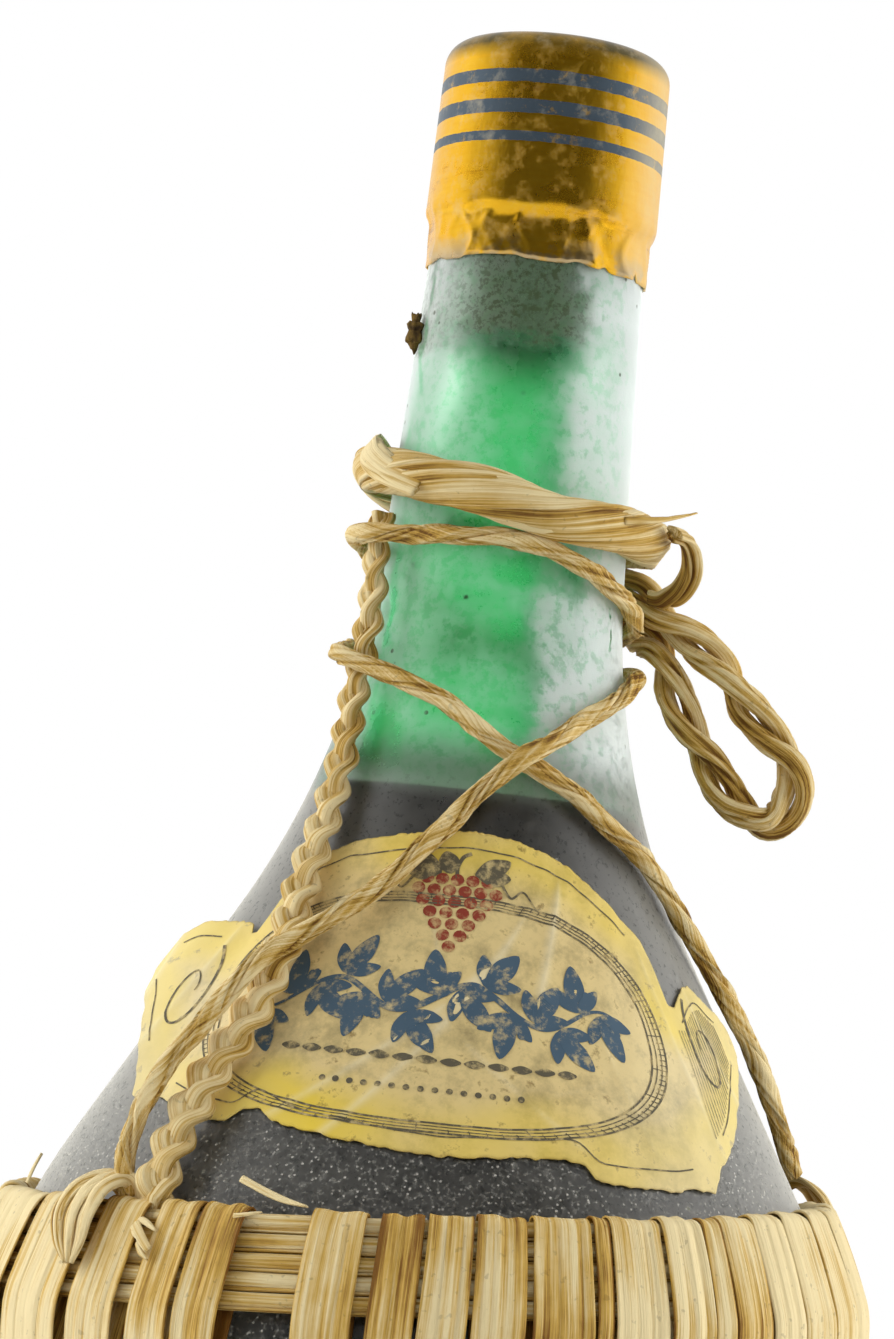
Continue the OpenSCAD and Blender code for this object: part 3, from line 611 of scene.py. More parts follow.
def paper_material(cream, yellow):
    """Aged label paper: cream inside its frame, bright yellow towards its edge, foxed and rubbed, and painted paler
    towards both sides where light falls.
    """
    material, tree = new_material("aged_paper")
    spot = object_spot(tree)
    edge = node(tree, "Attribute", attribute_name="edge").outputs["Fac"]
    mottle = noise(tree, spot, 120, 6, 0.65)
    fibres = noise(tree, spot, 800, 4, 0.6)
    wander_in = maths(tree, "ADD", edge, maths(tree, "MULTIPLY", maths(tree, "SUBTRACT", noise(tree, spot, 60, 3), 0.5), 5.0))
    border = ramp(tree, maths(tree, "DIVIDE", wander_in, 12.0), (0.30, 1.0), (0.62, 0.0))
    faded = ramp(tree, noise(tree, spot, 34, 3), (0.40, 1.0), (0.62, 0.25))
    blotch = maths(tree, "ADD", maths(tree, "MULTIPLY", mottle, 0.6), maths(tree, "MULTIPLY", noise(tree, spot, 420, 5, 0.7), 0.4))
    colour = ramp(tree, blotch, (0.34, tuple(0.5 * c for c in cream)), (0.52, cream), (0.75, tuple(min(1, 1.12 * c) for c in cream)))
    colour = between(tree, maths(tree, "MULTIPLY", border, faded), colour, yellow)
    foxing = ramp(tree, noise(tree, spot, 420, 4, 0.7), (0.60, 0.0), (0.70, 0.7))
    colour = between(tree, foxing, colour, (0.20, 0.12, 0.03))
    rim = ramp(tree, maths(tree, "DIVIDE", edge, 4.0), (0.02, 0.3), (0.07, 0.0))
    colour = between(tree, rim, colour, (0.24, 0.15, 0.03))
    # Paler along the creases.
    crease_paling = maths(tree, "MULTIPLY", node(tree, "Attribute", attribute_name="crease").outputs["Fac"], ramp(tree, mottle, (0.3, 0.5), (0.6, 1.0)))
    colour = between(tree, maths(tree, "MULTIPLY", crease_paling, 0.4), colour, (0.90, 0.84, 0.62))
    height = maths(tree, "ADD", maths(tree, "MULTIPLY", mottle, 0.7), maths(tree, "MULTIPLY", fibres, 0.3))
    # Painted light: the label is painted paler towards both sides, where the side lamps light it.
    aside = maths(tree, "ABSOLUTE", node(tree, "SeparateXYZ", {0: spot}).outputs["X"])
    painted_side_light = node(tree, "MapRange", {"Value": aside, "From Min": 0.016, "From Max": 0.042, "To Min": 0.0, "To Max": 0.45}).outputs[0]
    colour = between(tree, painted_side_light, colour, (0.95, 0.88, 0.62))
    shader(tree, Base_Color=colour, Roughness=0.6, Normal=bump(tree, height, 0.00025, 0.6), Specular_IOR_Level=0.35)
    return material


def ink_material(name, ink, paper, worn):
    """Old print, rubbed through to the paper."""
    material, tree = new_material(name)
    spot = object_spot(tree)
    gone = ramp(tree, noise(tree, spot, 600, 5, 0.7), (0.5 - worn, 0.0), (0.68 - worn, 0.75))
    colour = between(tree, gone, ink, paper)
    shader(tree, Base_Color=colour, Roughness=0.6, Specular_IOR_Level=0.35)
    return material


def husk_material():
    material, tree = new_material("dry_husk")
    spot = object_spot(tree)
    colour = ramp(tree, noise(tree, spot, 900, 4), (0.35, (0.04, 0.02, 0.004)), (0.65, (0.20, 0.12, 0.02)))
    shader(tree, Base_Color=colour, Roughness=0.8, Normal=bump(tree, noise(tree, spot, 1500, 4), 0.0004))
    return material


def floor_material(colour):
    material, tree = new_material("studio_floor")
    soft = noise(tree, object_spot(tree), 3, 2)
    shader(tree, Base_Color=ramp(tree, soft, (0.3, colour), (0.7, tuple(0.985 * c for c in colour))), Roughness=0.9)
    return material


# What a user would change


def colour_setting(name, description, default):
    return bpy.props.FloatVectorProperty(name=name, description=description, default=default, subtype="COLOR", min=0, max=1)


class FLASK_PG_glass(bpy.types.PropertyGroup):
    tint: colour_setting("Tint", "Colour of the glass where it is clear", (0.10, 0.68, 0.26))
    milk: colour_setting("Milky tint", "Colour of the glass where it is clouded", (0.60, 0.92, 0.72))
    dust: colour_setting("Dust", "Colour of the dust on the glass", (0.70, 0.68, 0.60))
    dust_amount: bpy.props.FloatProperty(name="Dust amount", description="How much of the glass the dust covers", default=0.9, min=0, max=1, subtype="FACTOR")


class FLASK_PG_foil(bpy.types.PropertyGroup):
    gold: colour_setting("Gold", "Colour of the foil", (0.95, 0.50, 0.018))
    brown: colour_setting("Worn gold", "Colour of the foil where it is rubbed", (0.46, 0.19, 0.012))
    band: colour_setting("Bands", "Colour of the painted bands", (0.075, 0.105, 0.135))
    wrinkle: bpy.props.FloatProperty(name="Wrinkle depth", description="Depth of the pleats in the skirt", default=0.00030, min=0, max=0.001, unit="LENGTH")


class FLASK_PG_label(bpy.types.PropertyGroup):
    paper: colour_setting("Paper", "Colour of the paper inside its frame", (0.72, 0.56, 0.25))
    yellow: colour_setting("Border", "Colour of the paper's border", (0.80, 0.59, 0.06))
    blue: colour_setting("Blue ink", "Colour of the blue print", (0.06, 0.105, 0.15))
    red: colour_setting("Red ink", "Colour of the red print", (0.26, 0.04, 0.02))
    grey: colour_setting("Grey ink", "Colour of the thin lines", (0.11, 0.095, 0.06))


class FLASK_PG_straw(bpy.types.PropertyGroup):
    dark: colour_setting("Dark straw", "Colour of the straw in its grooves and stains", (0.24, 0.10, 0.010))
    mid: colour_setting("Straw", "Main colour of the straw", (0.66, 0.41, 0.08))
    light: colour_setting("Pale straw", "Colour of the straw on its ridges", (0.92, 0.76, 0.42))
    ridge: bpy.props.FloatProperty(name="Ridge height", description="Height of the ridges along a strip", default=0.00015, min=0, max=0.0003, unit="LENGTH")


class FLASK_PG_cords(bpy.types.PropertyGroup):
    dark: colour_setting("Dark raffia", "Colour of the cords in their grooves", (0.17, 0.068, 0.004))
    mid: colour_setting("Raffia", "Main colour of the cords", (0.60, 0.36, 0.06))
    light: colour_setting("Pale raffia", "Colour of the cords on their ridges", (0.94, 0.77, 0.42))


class FLASK_PG_stage(bpy.types.PropertyGroup):
    lens: bpy.props.FloatProperty(name="Lens", description="Focal length in millimetres on a 36 mm sensor", default=108.9, min=20, max=300)
    side_light: bpy.props.FloatProperty(name="Side lamps", description="Power of each of the two large lamps", default=11.0, min=0, subtype="POWER")
    front_light: bpy.props.FloatProperty(name="Front lamp", description="Power of the soft lamp over the camera", default=1.4, min=0, subtype="POWER")
    ambient: bpy.props.FloatProperty(name="Room light", description="Strength of the light from all round", default=0.34, min=0, max=2)
    floor: colour_setting("Floor", "Colour of the floor", (0.80, 0.80, 0.78))


# Cord routes: bearing, height and the cord's middle off the glass, in degrees and millimetres
ROPE = [
    [-39.2, 114.4, 2.8], [-39.3, 121.4, 3.4], [-38.5, 127.8, 3.5], [-37, 135.7, 3.4], [-37.4, 143, 3.3],
    [-40.5, 150.3, 3.2], [-43.4, 157, 3], [-46.5, 164.4, 2.6], [-50.5, 171.9, 2.5], [-55.3, 178.7, 2.4],
    [-58.4, 185.5, 2.4], [-61.4, 192.3, 2.3], [-64, 198, 2.3], [-66.5, 204, 2.3]]
TIE = [
    [-45.8, 117.4, 4], [-45, 119, 5.6], [-43.8, 121.4, 7], [-41.9, 126.5, 7.8], [-40, 131.1, 7.6],
    [-38.3, 135.8, 7.4], [-35.5, 140.6, 6.8], [-31.9, 144.7, 5], [-26.7, 149, 3.6], [-20.8, 153.2, 2.7],
    [-13.5, 158.5, 2.4], [-9, 161.3, 2.4], [-2, 165.6, 2.8], [5, 168.7, 4], [13, 171.7, 4.9],
    [24, 175.1, 3.2], [36, 178.4, 1.9], [48, 180.6, 1.7], [63, 183.2, 1.7], [76, 185.4, 1.7],
    [95, 186.6, 1.7],
    [115, 187.2, 1.7], [140, 187.8, 1.7], [160, 188.6, 2.8], [180, 190, 4.8], [200, 192.8, 4.2],
    [220, 195.8, 2.4], [240, 198.2, 1.7], [255, 199.4, 1.8], [267, 200.1, 2.1], [274, 200.4, 2.7],
    [280, 200.5, 3.4], [287, 200.6, 4.5], [294, 200.7, 5.4], [301, 200.75, 5.0], [306, 200.8, 4.1],
    [313, 200.9, 3], [320, 201, 2.3], [337, 201.1, 1.8], [353, 201.3, 1.7], [365, 201.3, 1.7],
    [376, 200.8, 1.7], [388, 199.8, 1.7], [400, 198.6, 1.7], [413, 197.1, 1.7], [430, 195.4, 1.7],
    [448, 193.7, 1.7], [470, 192.6, 1.7], [495, 191.6, 1.7], [520, 190.8, 1.7], [545, 189.8, 1.7],
    [570, 188.6, 1.7], [590, 187.6, 1.7], [605, 187, 1.7], [618, 186.6, 1.7], [633, 186, 1.95],
    [640, 185.4, 2.5], [647, 184.8, 3.3], [652, 184.4, 4.2], [658, 183.8, 5.2], [664, 183.2, 5.3],
    [671, 182.6, 4.4], [678, 182, 3.4], [686, 181.2, 2.4], [699, 179.6, 1.8], [710, 177.6, 1.7],
    [720, 175, 1.7], [730, 172.7, 1.7], [741, 170.7, 1.7], [750, 168.9, 1.7], [757, 167, 1.7],
    [765, 164.6, 1.7], [775, 162.1, 1.8], [784, 158.6, 1.8], [791, 153.6, 1.9], [797, 147, 2.3],
    [803, 140.6, 2.6], [809, 133.6, 2.5], [814, 127.4, 2.1], [820, 122.4, 2.4]]
BUNDLE = [
    [-179.4, 207, 3.2], [-160, 208, 3.2], [-140, 209.2, 3.2], [-120, 210.2, 3.2], [-100, 210.8, 3.2],
    [-79, 210.4, 3.3], [-60, 209.4, 3.3], [-40, 208.5, 3.2], [-17, 207.1, 3.2], [0, 205.9, 3.2],
    [16, 204.8, 3.2], [34, 204.6, 3.2], [57, 204.6, 3.2], [80, 204.8, 3.2], [100, 205, 3.2],
    [120, 205.4, 3.2], [140, 205.8, 3.2], [160, 206.3, 3.2], [179.4, 207, 3.2]]
CURL = [
    [66, 205.2, 8], [73, 205, 8.6], [80, 203.4, 8.9], [86, 201, 8.8], [91, 198.8, 7.6], [95, 197.8, 5.9],
    [99, 198.2, 4.1]]
NECK_FOLD = [
    [-128, 209.5, 2.2], [-112, 212.2, 2.8], [-98, 213.6, 3.2], [-84, 213.6, 3.8], [-72, 212.6, 4.6], [-61, 210.8, 5.6],
    [-48, 208.6, 5.9], [-34, 206.8, 5.4]]
# The hanging loop's route is in x, y and z
LOOP = [
    [9.5, 16.4, 200.6], [14, 12.8, 200.4], [18.2, 8.4, 199.2], [21.6, 6, 196.2], [26, 5, 193.6],
    [30.5, 4.2, 189.9], [34.5, 3.6, 184.9], [38.1, 3.2, 181.3], [41, 3, 177.9], [42.1, 2.8, 174.2],
    [41, 2.8, 170.7], [38.3, 2.8, 169.3], [34.4, 3, 171.6], [31.8, 3.4, 174.6], [29.8, 4, 177.5],
    [27.1, 4.8, 181.7], [25, 5.8, 185.4], [23.2, 7, 189.2], [21.4, 9, 192.4], [17.6, 13.4, 194.8],
    [11.4, 16.6, 195.6]]


class FLASK_OT_stage(bpy.types.Operator):
    """Sets up the camera, the lamps, the white surroundings and the floor"""

    bl_idname = "flask.stage"
    bl_label = "Stage"

    def execute(self, context):
        settings = context.scene.flask_stage
        context.scene.view_settings.view_transform = "Standard"
        deselect_all()
        bpy.ops.object.camera_add(location=(0, -0.54, 0.136))
        camera = context.object
        camera.name = "camera"
        right = Vector((0.99391, 0.00108, 0.11015)).normalized()
        ahead = Vector((-0.01112, 0.99582, 0.09063)).normalized()
        above = right.cross(ahead)
        camera.matrix_world = Matrix.Translation((0, -0.54, 0.136)) @ Matrix((right, above, -ahead)).transposed().to_4x4()
        camera.data.lens = settings.lens
        camera.data.sensor_width = 36
        camera.data.clip_start = 0.01
        camera.data.clip_end = 20
        context.scene.camera = camera
        self.light_room(context, settings.ambient)
        side = settings.side_light
        self.lamp(context, "lamp_left", (-0.85, 0.05, 0.30), (1.2, 1.2), side)
        self.lamp(context, "lamp_right", (0.85, 0.05, 0.30), (1.2, 1.2), side)
        self.lamp(context, "lamp_front", (-0.15, -0.85, 0.75), (0.9, 0.6), settings.front_light)
        deselect_all()
        bpy.ops.mesh.primitive_cylinder_add(vertices=128, radius=1.15, depth=0.01, location=(0, 0, -0.005))
        floor = context.object
        floor.name = "floor"
        rest_at_origin(floor)
        floor.data.materials.append(floor_material(tuple(settings.floor)))
        return {"FINISHED"}

    def light_room(self, context, ambient):
        """White surroundings for what is seen, also in gloss and through glass, darker behind the camera."""
        world = bpy.data.worlds.new("studio_room")
        context.scene.world = world
        world.use_nodes = True
        tree = world.node_tree
        path = node(tree, "LightPath").outputs
        seen = maths(tree, "MAXIMUM", path["Is Camera Ray"], maths(tree, "MAXIMUM", path["Is Glossy Ray"], path["Is Transmission Ray"]))
        way = node(tree, "SeparateXYZ", {0: node(tree, "TexCoord").outputs["Generated"]}).outputs["Y"]
        front = node(tree, "MapRange", {"Value": way, "From Min": 0.05, "From Max": -0.7, "To Min": 0.0, "To Max": 0.96}).outputs[0]
        shaded = maths(tree, "SUBTRACT", 1.0, maths(tree, "MULTIPLY", front, path["Is Glossy Ray"]))
        strength = maths(tree, "ADD", maths(tree, "MULTIPLY", seen, shaded), maths(tree, "MULTIPLY", maths(tree, "SUBTRACT", 1.0, seen), ambient))
        background = tree.nodes["Background"]
        background.inputs["Color"].default_value = (1, 1, 1, 1)
        tree.links.new(strength, background.inputs["Strength"])

    def lamp(self, context, name, place, size, power):
        deselect_all()
        bpy.ops.object.light_add(type="AREA", location=place)
        lamp = context.object
        lamp.name = name
        lamp.data.shape = "RECTANGLE"
        lamp.data.size, lamp.data.size_y = size
        lamp.data.energy = power
        lamp.rotation_euler = (Vector((0, 0, 0.15)) - Vector(place)).to_track_quat("-Z", "Y").to_euler()
        lamp.visible_camera = False
        lamp.visible_glossy = False


class FLASK_OT_hanging_loop(bpy.types.Operator):
    """Twists the raffia loop that the flask hangs by"""

    bl_idname = "flask.hanging_loop"
    bl_label = "Hanging loop"

    def execute(self, context):
        route = Route(LOOP, spot=lambda x, y, z: Vector((x, y, z)), out=Vector((0, 1, 0)))
        strands = Strands(11)
        twist(strands, route, 5.7, 2, 25, tone=0.45, spin=0.2)
        piece = strands.build("raffia_loop")
        settle(piece, "bottle", "raffia", raffia(context), "hanging_loop")
        path = [tuple(p * MM) for p in route.line]
        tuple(path[0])
        return {"FINISHED"}


def raffia(context):
    """The raffia material, made once."""
    colours = context.scene.flask_cords
    return bpy.data.materials.get("aged_raffia") or straw_material(
        "aged_raffia", tuple(colours.dark), tuple(colours.mid), tuple(colours.light), fibre=1.0)


def straw(context):
    """The straw material, made once."""
    colours = context.scene.flask_straw
    return bpy.data.materials.get("dried_straw") or straw_material(
        "dried_straw", tuple(colours.dark), tuple(colours.mid), tuple(colours.light), fibre=0.8)


class FLASK_OT_cords(bpy.types.Operator):
    """Lays the plaited rope, the tie cord, the bundle round the neck and the two knots at the rim"""

    bl_idname = "flask.cords"
    bl_label = "Cords"

    def execute(self, context):
        self.lay(context, "plaited_rope", 21, "side_rope")
        self.lay(context, "twisted_tie", 22, "tie_cord")
        self.lay(context, "neck_raffia", 23, "neck_bundle")
        self.lay(context, "left_rim_knot", 24, "rim_knot_left")
        self.lay(context, "right_rim_knot", 25, "rim_knot_right")
        return {"FINISHED"}

    def lay(self, context, name, seed, replaced):
        strands = Strands(seed)
        getattr(self, replaced)(strands)
        settle(strands.build(name), "bottle", "raffia", raffia(context), replaced)

    def side_rope(self, strands):
        route = Route([[-38.6, 110.4, 1.5], [-38.9, 112.2, 2.1]] + ROPE, 0.5)
        tucked = np.minimum(1, 0.55 + route.s / 4)
        plait(strands, route, (6.2 - 2.0 * route.s / route.length) * tucked, 14.5, tone=0.3)

    def tie_cord(self, strands):
        twist(strands, Route([[-43.8, 111.8, 2.0], [-44.8, 114.0, 3.6], [-45.6, 116.4, 4.6]] + TIE[1:], 0.7), 3.1, 2, 24, tone=0.25, plump=1.35, tight=0.62, spin=0.55)

    def neck_bundle(self, strands):
        bundle = Route(BUNDLE, 0.5)
        twist(strands, bundle, 6.4, 3, 56, tone=0.3, flat=0.72, closed=True, plump=1.3)
        twist(strands, bundle, 6.6, 2, 46, tone=0.15, flat=0.62, closed=True, plump=0.75, tight=1.3)
        curl = Route(CURL, 0.3)
        strands.add(curl, half_w=1.6, half_t=0.65, tone=0.3, turn=1.0)
        strands.add(curl, side=0.5, lift=-0.6, half_w=1.0, half_t=0.5, tone=0.5, turn=0.6)
        fold = Route(NECK_FOLD, 0.4)
        strands.add(fold, half_w=2.0, half_t=0.55, tone=0.1, turn=0.5)
        stray = Route([[44, 205.4, 5.6], [56, 206.2, 7.2], [67, 207.4, 8.4], [77, 208.6, 9.4]], 0.4)
        strands.add(stray, half_w=0.6 * (1 - 0.8 * stray.s / stray.length), half_t=0.25, tone=0.4, sides=8)

    def rim_knot_left(self, strands):
        self.knot(strands, -47.9)

    def rim_knot_right(self, strands):
        self.knot(strands, 106.5)

    def knot(self, strands, b):
        """Leaves wound over the rim side by side and gathered at their lower end."""
        rim = rim_at(b)
        for i, tone in enumerate((0.35, 0.1, 0.3, 0.0, 0.2, 0.05)):
            u = i / 5 - 0.5
            lift = 0.5 * (i % 2) - 0.15 * abs(u)
            route = Route([
                [b + 4.8 + 1.2 * u, rim - 0.6, 1.2], [b + 3.2 + 3.2 * u, rim + 1.0, 2.6],
                [b + 1.4 + 5.2 * u, rim + 0.9, 4.2], [b + 0.3 + 6.2 * u, rim - 1.1, 5.5 + lift],
                [b + 6.8 * u, rim - 4.1, 5.9 + lift], [b + 1.4 + 5.2 * u, rim - 7.2, 5.9 + lift],
                [b + 2.6 + 1.4 * u, rim - 9.6, 5.7 + 0.5 * lift]], 0.4)
            share = route.s / route.length
            strands.add(
                route, half_w=1.2 * np.minimum(1, 1.6 * (1.12 - share)), half_t=0.38,
                turn=0.5 * u + strands.rng.uniform(-0.15, 0.15), tone=tone, folds=2)


def arc(centre, r, start, end, steps):
    """Points on an arc; angles in degrees, 0 outwards and 90 up."""
    turn = [math.radians(start + (end - start) * i / steps) for i in range(steps + 1)]
    return [(centre[0] + r * math.cos(a), centre[1] + r * math.sin(a)) for a in turn]


def body_section(off):
    """The flask's section at a distance off its outside, from the middle of the foot to the end of the flare."""
    foot = [(t / 8 * FOOT_C[0], FOOT_Z - off + PUNT_H * (1 - (t / 8) ** 2)) for t in range(8)]
    lean, taper = math.degrees(SHOULDER_LEAN), math.degrees(NECK_TAPER)
    return (
        foot + arc(FOOT_C, FOOT_ARC_R + off, -90, -60, 8) + arc((BULB_R - LOWER_ARC_R, BULB_Z), LOWER_ARC_R + off, -57, 0, 22)
        + arc((BULB_R - UPPER_ARC_R, BULB_Z), UPPER_ARC_R + off, 2.5, lean, 12)
        + arc(FLARE_C, FLARE_R - off, 180 + lean, 180 + taper, 24))


class FLASK_OT_glass(bpy.types.Operator):
    """Blows the flask with its punt, throat and lip, and finishes the wine and the cork inside it"""

    bl_idname = "flask.glass"
    bl_label = "Glass, wine and cork"

    def execute(self, context):
        settings = context.scene.flask_glass
        lip_z = FLASK_H - 18
        lip_r = NECK_R - 0.05
        outside = body_section(0) + [(neck_at(lip_z - 4), lip_z - 4), (neck_at(lip_z - 1.5), lip_z - 1.5), (lip_r, lip_z)]
        outside += [(lip_r, lip_z + 0.6)] + arc((lip_r - 2.2, FLASK_H - 2.2), 2.2, 0, 90, 8)
        neck_r, neck_z = skin(FLARE_TOP_Z, -WALL)
        throat_z = CORK_Z - 3
        throat = [(neck_r + (BORE_R - neck_r) * ease(t / 12), neck_z + (throat_z - neck_z) * t / 12) for t in range(1, 13)]
        inside = body_section(-WALL) + throat + [(BORE_R, FLASK_H - 0.8), (BORE_R + 0.8, FLASK_H)]
        flask = turned("blown_flask", outside + inside[::-1])
        settle(flask, "bottle", "green_glass", glass_material(tuple(settings.tint), tuple(settings.milk), tuple(settings.dust), settings.dust_amount), "flask")
        sides = [p for p in body_section(0.3 - WALL) if p[1] < WINE_Z]
        top_r = skin(WINE_Z, 0.3 - WALL)[0]
        wine = turned("wine_body", sides + [(top_r, WINE_Z), (top_r - 1.2, WINE_Z - 0.5), (0, WINE_Z - 0.5)], 128)
        settle(wine, "bottle", "wine", wine_material(), "wine")
        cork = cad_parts["cork"]
        cork.data.materials.clear()
        cork.data.materials.append(cork_material())
        return {"FINISHED"}


class FLASK_OT_capsule(bpy.types.Operator):
    """Presses the foil capsule over the mouth, with its crease, its pleated skirt and its torn edge"""

    bl_idname = "flask.capsule"
    bl_label = "Foil capsule"

    def execute(self, context):
        settings = context.scene.flask_foil
        self.pleat = settings.wrinkle / MM
        self.crimp, self.tear, self.dent = wander(31, 60), wander(32, 44), wander(33, 26)
        self.pleats = [(random.Random(34 + i).uniform(0, 360), random.Random(90 + i).uniform(1.5, 4), random.Random(140 + i).uniform(0.4, 1)) for i in range(46)]
        skirt, low = CAPSULE_LOW, CAPSULE_LOW + 6.4
        side = [(14.95, skirt), (14.98, skirt + 3), (14.97, low - 0.5), (15.12, low + 0.2), (15.5, low + 0.9), (15.66, low + 1.7), (15.62, low + 4)]
        side += [(15.3 + 0.32 * (1 - i / 8), low + 4 + (CAPSULE_TOP - 3 - low - 4) * i / 8) for i in range(1, 9)]
        side += arc((12.3, CAPSULE_TOP - 3), 3, 8, 90, 9) + [(9, CAPSULE_TOP), (5, CAPSULE_TOP), (0, CAPSULE_TOP)]
        steps = np.concatenate([[0], np.cumsum(np.linalg.norm(np.diff(np.array(side), axis=0), axis=1))])
        self.section = (steps / steps[-1], np.array(side))
        piece, _ = wrapped("foil_capsule", 280, 100, self.press)
        deselect_all()
        piece.select_set(True)
        context.view_layer.objects.active = piece
        bpy.ops.object.mode_set(mode="EDIT")
        bpy.ops.mesh.select_all(action="SELECT")
        bpy.ops.mesh.remove_doubles(threshold=0.004 * MM)
        bpy.ops.mesh.normals_make_consistent(inside=False)
        bpy.ops.object.mode_set(mode="OBJECT")
        apply_modifier(piece, "SOLIDIFY", thickness=0.16 * MM, offset=-1)
        settle(piece, "capsule", "gold_foil", foil_material(tuple(settings.gold), tuple(settings.brown), tuple(settings.band)), "capsule")
        return {"FINISHED"}

    def press(self, u, v):
        """The place of a point u round and v up the foil."""
        u = u % 1.0
        v = v ** 0.9
        r = float(np.interp(v, self.section[0], self.section[1][:, 0]))
        z = float(np.interp(v, self.section[0], self.section[1][:, 1]))
        bearing = u * 360 - 180
        round_u = 0.5 - 0.5 * math.cos(2 * math.pi * u)
        low = CAPSULE_LOW + 6.4
        skirt = ease((low + 0.4 - z) / 1.2)
        fold = 0.0
        for at, width, size in self.pleats:
            gap = (bearing - at + 4 * math.sin(z * 0.7 + at) + 180) % 360 - 180
            fold += size * math.exp(-((gap / width) ** 2))
        closing = ease(min(u, 1 - u) * 30)
        r += skirt * self.pleat * (fold - 0.7) * closing
        crimp = math.exp(-(((z - low - 0.7) / 0.9) ** 2))
        r += crimp * 0.14 * self.crimp(u) * closing
        r += 0.05 * self.dent(u) * closing * ease((CAPSULE_TOP - z) / 3)
        if z < low:
            share = (low - z) / 6.4
            edge = 0.28 * self.tear(u) * closing + 0.3 + 0.5 * math.exp(-(((bearing - 37) / 2.5) ** 2)) + 1.1 * math.exp(-(((bearing - 62) / 2.6) ** 2))
            z += share * edge + 0.05 * round_u * share
            r += 0.5 * share**3 * (math.exp(-(((bearing - 56) / 7) ** 2)) + 0.4 * math.exp(-(((bearing - 30) / 5) ** 2)))
        return on_bearing(bearing, r, z)


LABEL_Z = 120.5
LABEL_H = 42.0
LABEL_EDGE = [
    [-80, 0.48, 0.45], [-77, 0.52, 0.42], [-74, 0.56, 0.38], [-70, 0.61, 0.33], [-66, 0.63, 0.25],
    [-63, 0.64, 0.19], [-60.5, 0.65, 0.13], [-59, 0.65, 0.09], [-56.5, 0.65, 0.09], [-55.4, 0.62, 0.11],
    [-53.6, 0.63, 0.11], [-52.6, 0.74, 0.1], [-51.5, 0.8, 0.1], [-49, 0.84, 0.09], [-44, 0.89, 0.07],
    [-38.5, 0.92, 0.06], [-35, 0.94, 0.06], [-33, 0.945, 0.1], [-30.5, 0.95, 0.11], [-27.5, 0.955, 0.08],
    [-22, 0.97, 0.06], [-10, 0.99, 0.04], [0, 1, 0.03], [12, 0.99, 0.05], [19, 0.965, 0.06],
    [22.5, 0.955, 0.05], [24, 0.945, 0.01], [28, 0.93, 0], [32, 0.9, 0], [39, 0.84, 0], [43, 0.79, 0.01],
    [46.5, 0.75, 0],
    [48.5, 0.73, 0.04], [50, 0.67, 0.07], [50.7, 0.54, 0.08], [53.5, 0.54, 0.11], [56, 0.57, 0.14],
    [59.5, 0.6, 0.19], [63, 0.61, 0.25], [66, 0.58, 0.29], [68.5, 0.56, 0.32], [71, 0.54, 0.35],
    [75.5, 0.52, 0.4], [80, 0.48, 0.45]]
EDGE_B, EDGE_TOP, EDGE_LOW = np.array(LABEL_EDGE, float).T
# Creases in the paper: bearing and share of its height at both ends, half width and height in millimetres
CREASES = [
    (-33, 0.02, 4, 0.55, 0.9, 0.28), (-21, 0.0, 12, 0.7, 0.8, 0.3), (-8, 0.74, 1, 0.38, 0.7, -0.22), (1, 0.38, 22, 0.1, 0.8, 0.22),
    (24, 0.84, 17, 0.52, 1.0, 0.34), (30, 0.4, 36, 0.1, 0.8, 0.16), (46, 0.66, 52, 0.12, 1.1, 0.2), (60, 0.55, 66, 0.12, 1.0, 0.26),
    (-60, 0.6, -66, 0.15, 1.0, 0.24), (-75, 0.62, -70, 0.14, 1.2, 0.3), (12, 0.2, 30, 0.3, 0.7, -0.15)]


def creased(bearing, share):
    """How high the paper's creases stand at a place on the label."""
    lift = 0.0
    for b0, s0, b1, s1, half_w, high in CREASES:
        ax, ay, bx, by = b0 * 0.66, s0 * LABEL_H, b1 * 0.66, s1 * LABEL_H
        px, py = bearing * 0.66, share * LABEL_H
        reach = ((px - ax) * (bx - ax) + (py - ay) * (by - ay)) / ((bx - ax) ** 2 + (by - ay) ** 2)
        inside = ease((reach + 0.25) / 0.3) * ease((1.25 - reach) / 0.3)
        nearest = min(1.2, max(-0.2, reach))
        gap = math.hypot(px - ax - nearest * (bx - ax), py - ay - nearest * (by - ay))
        lift += inside * high * math.exp(-abs(gap) / half_w)
    return lift


def label_lift(bearing, share):
    """How far the label's face stands off the glass: its ends have come unstuck, and it is creased."""
    lift = SEAT + 0.15 + 3.6 * ease((-54 - bearing) / 22) + 0.4 * ease((bearing - 58) / 16) + creased(bearing, share)
    return lift + 0.05 * math.sin(bearing * 0.31 + share * 9) + 0.04 * math.sin(bearing * 0.8 - share * 23)


def label_spot(bearing, share, off=0.0):
    return on_glass(bearing, LABEL_Z + LABEL_H * share, label_lift(bearing, share) + off)


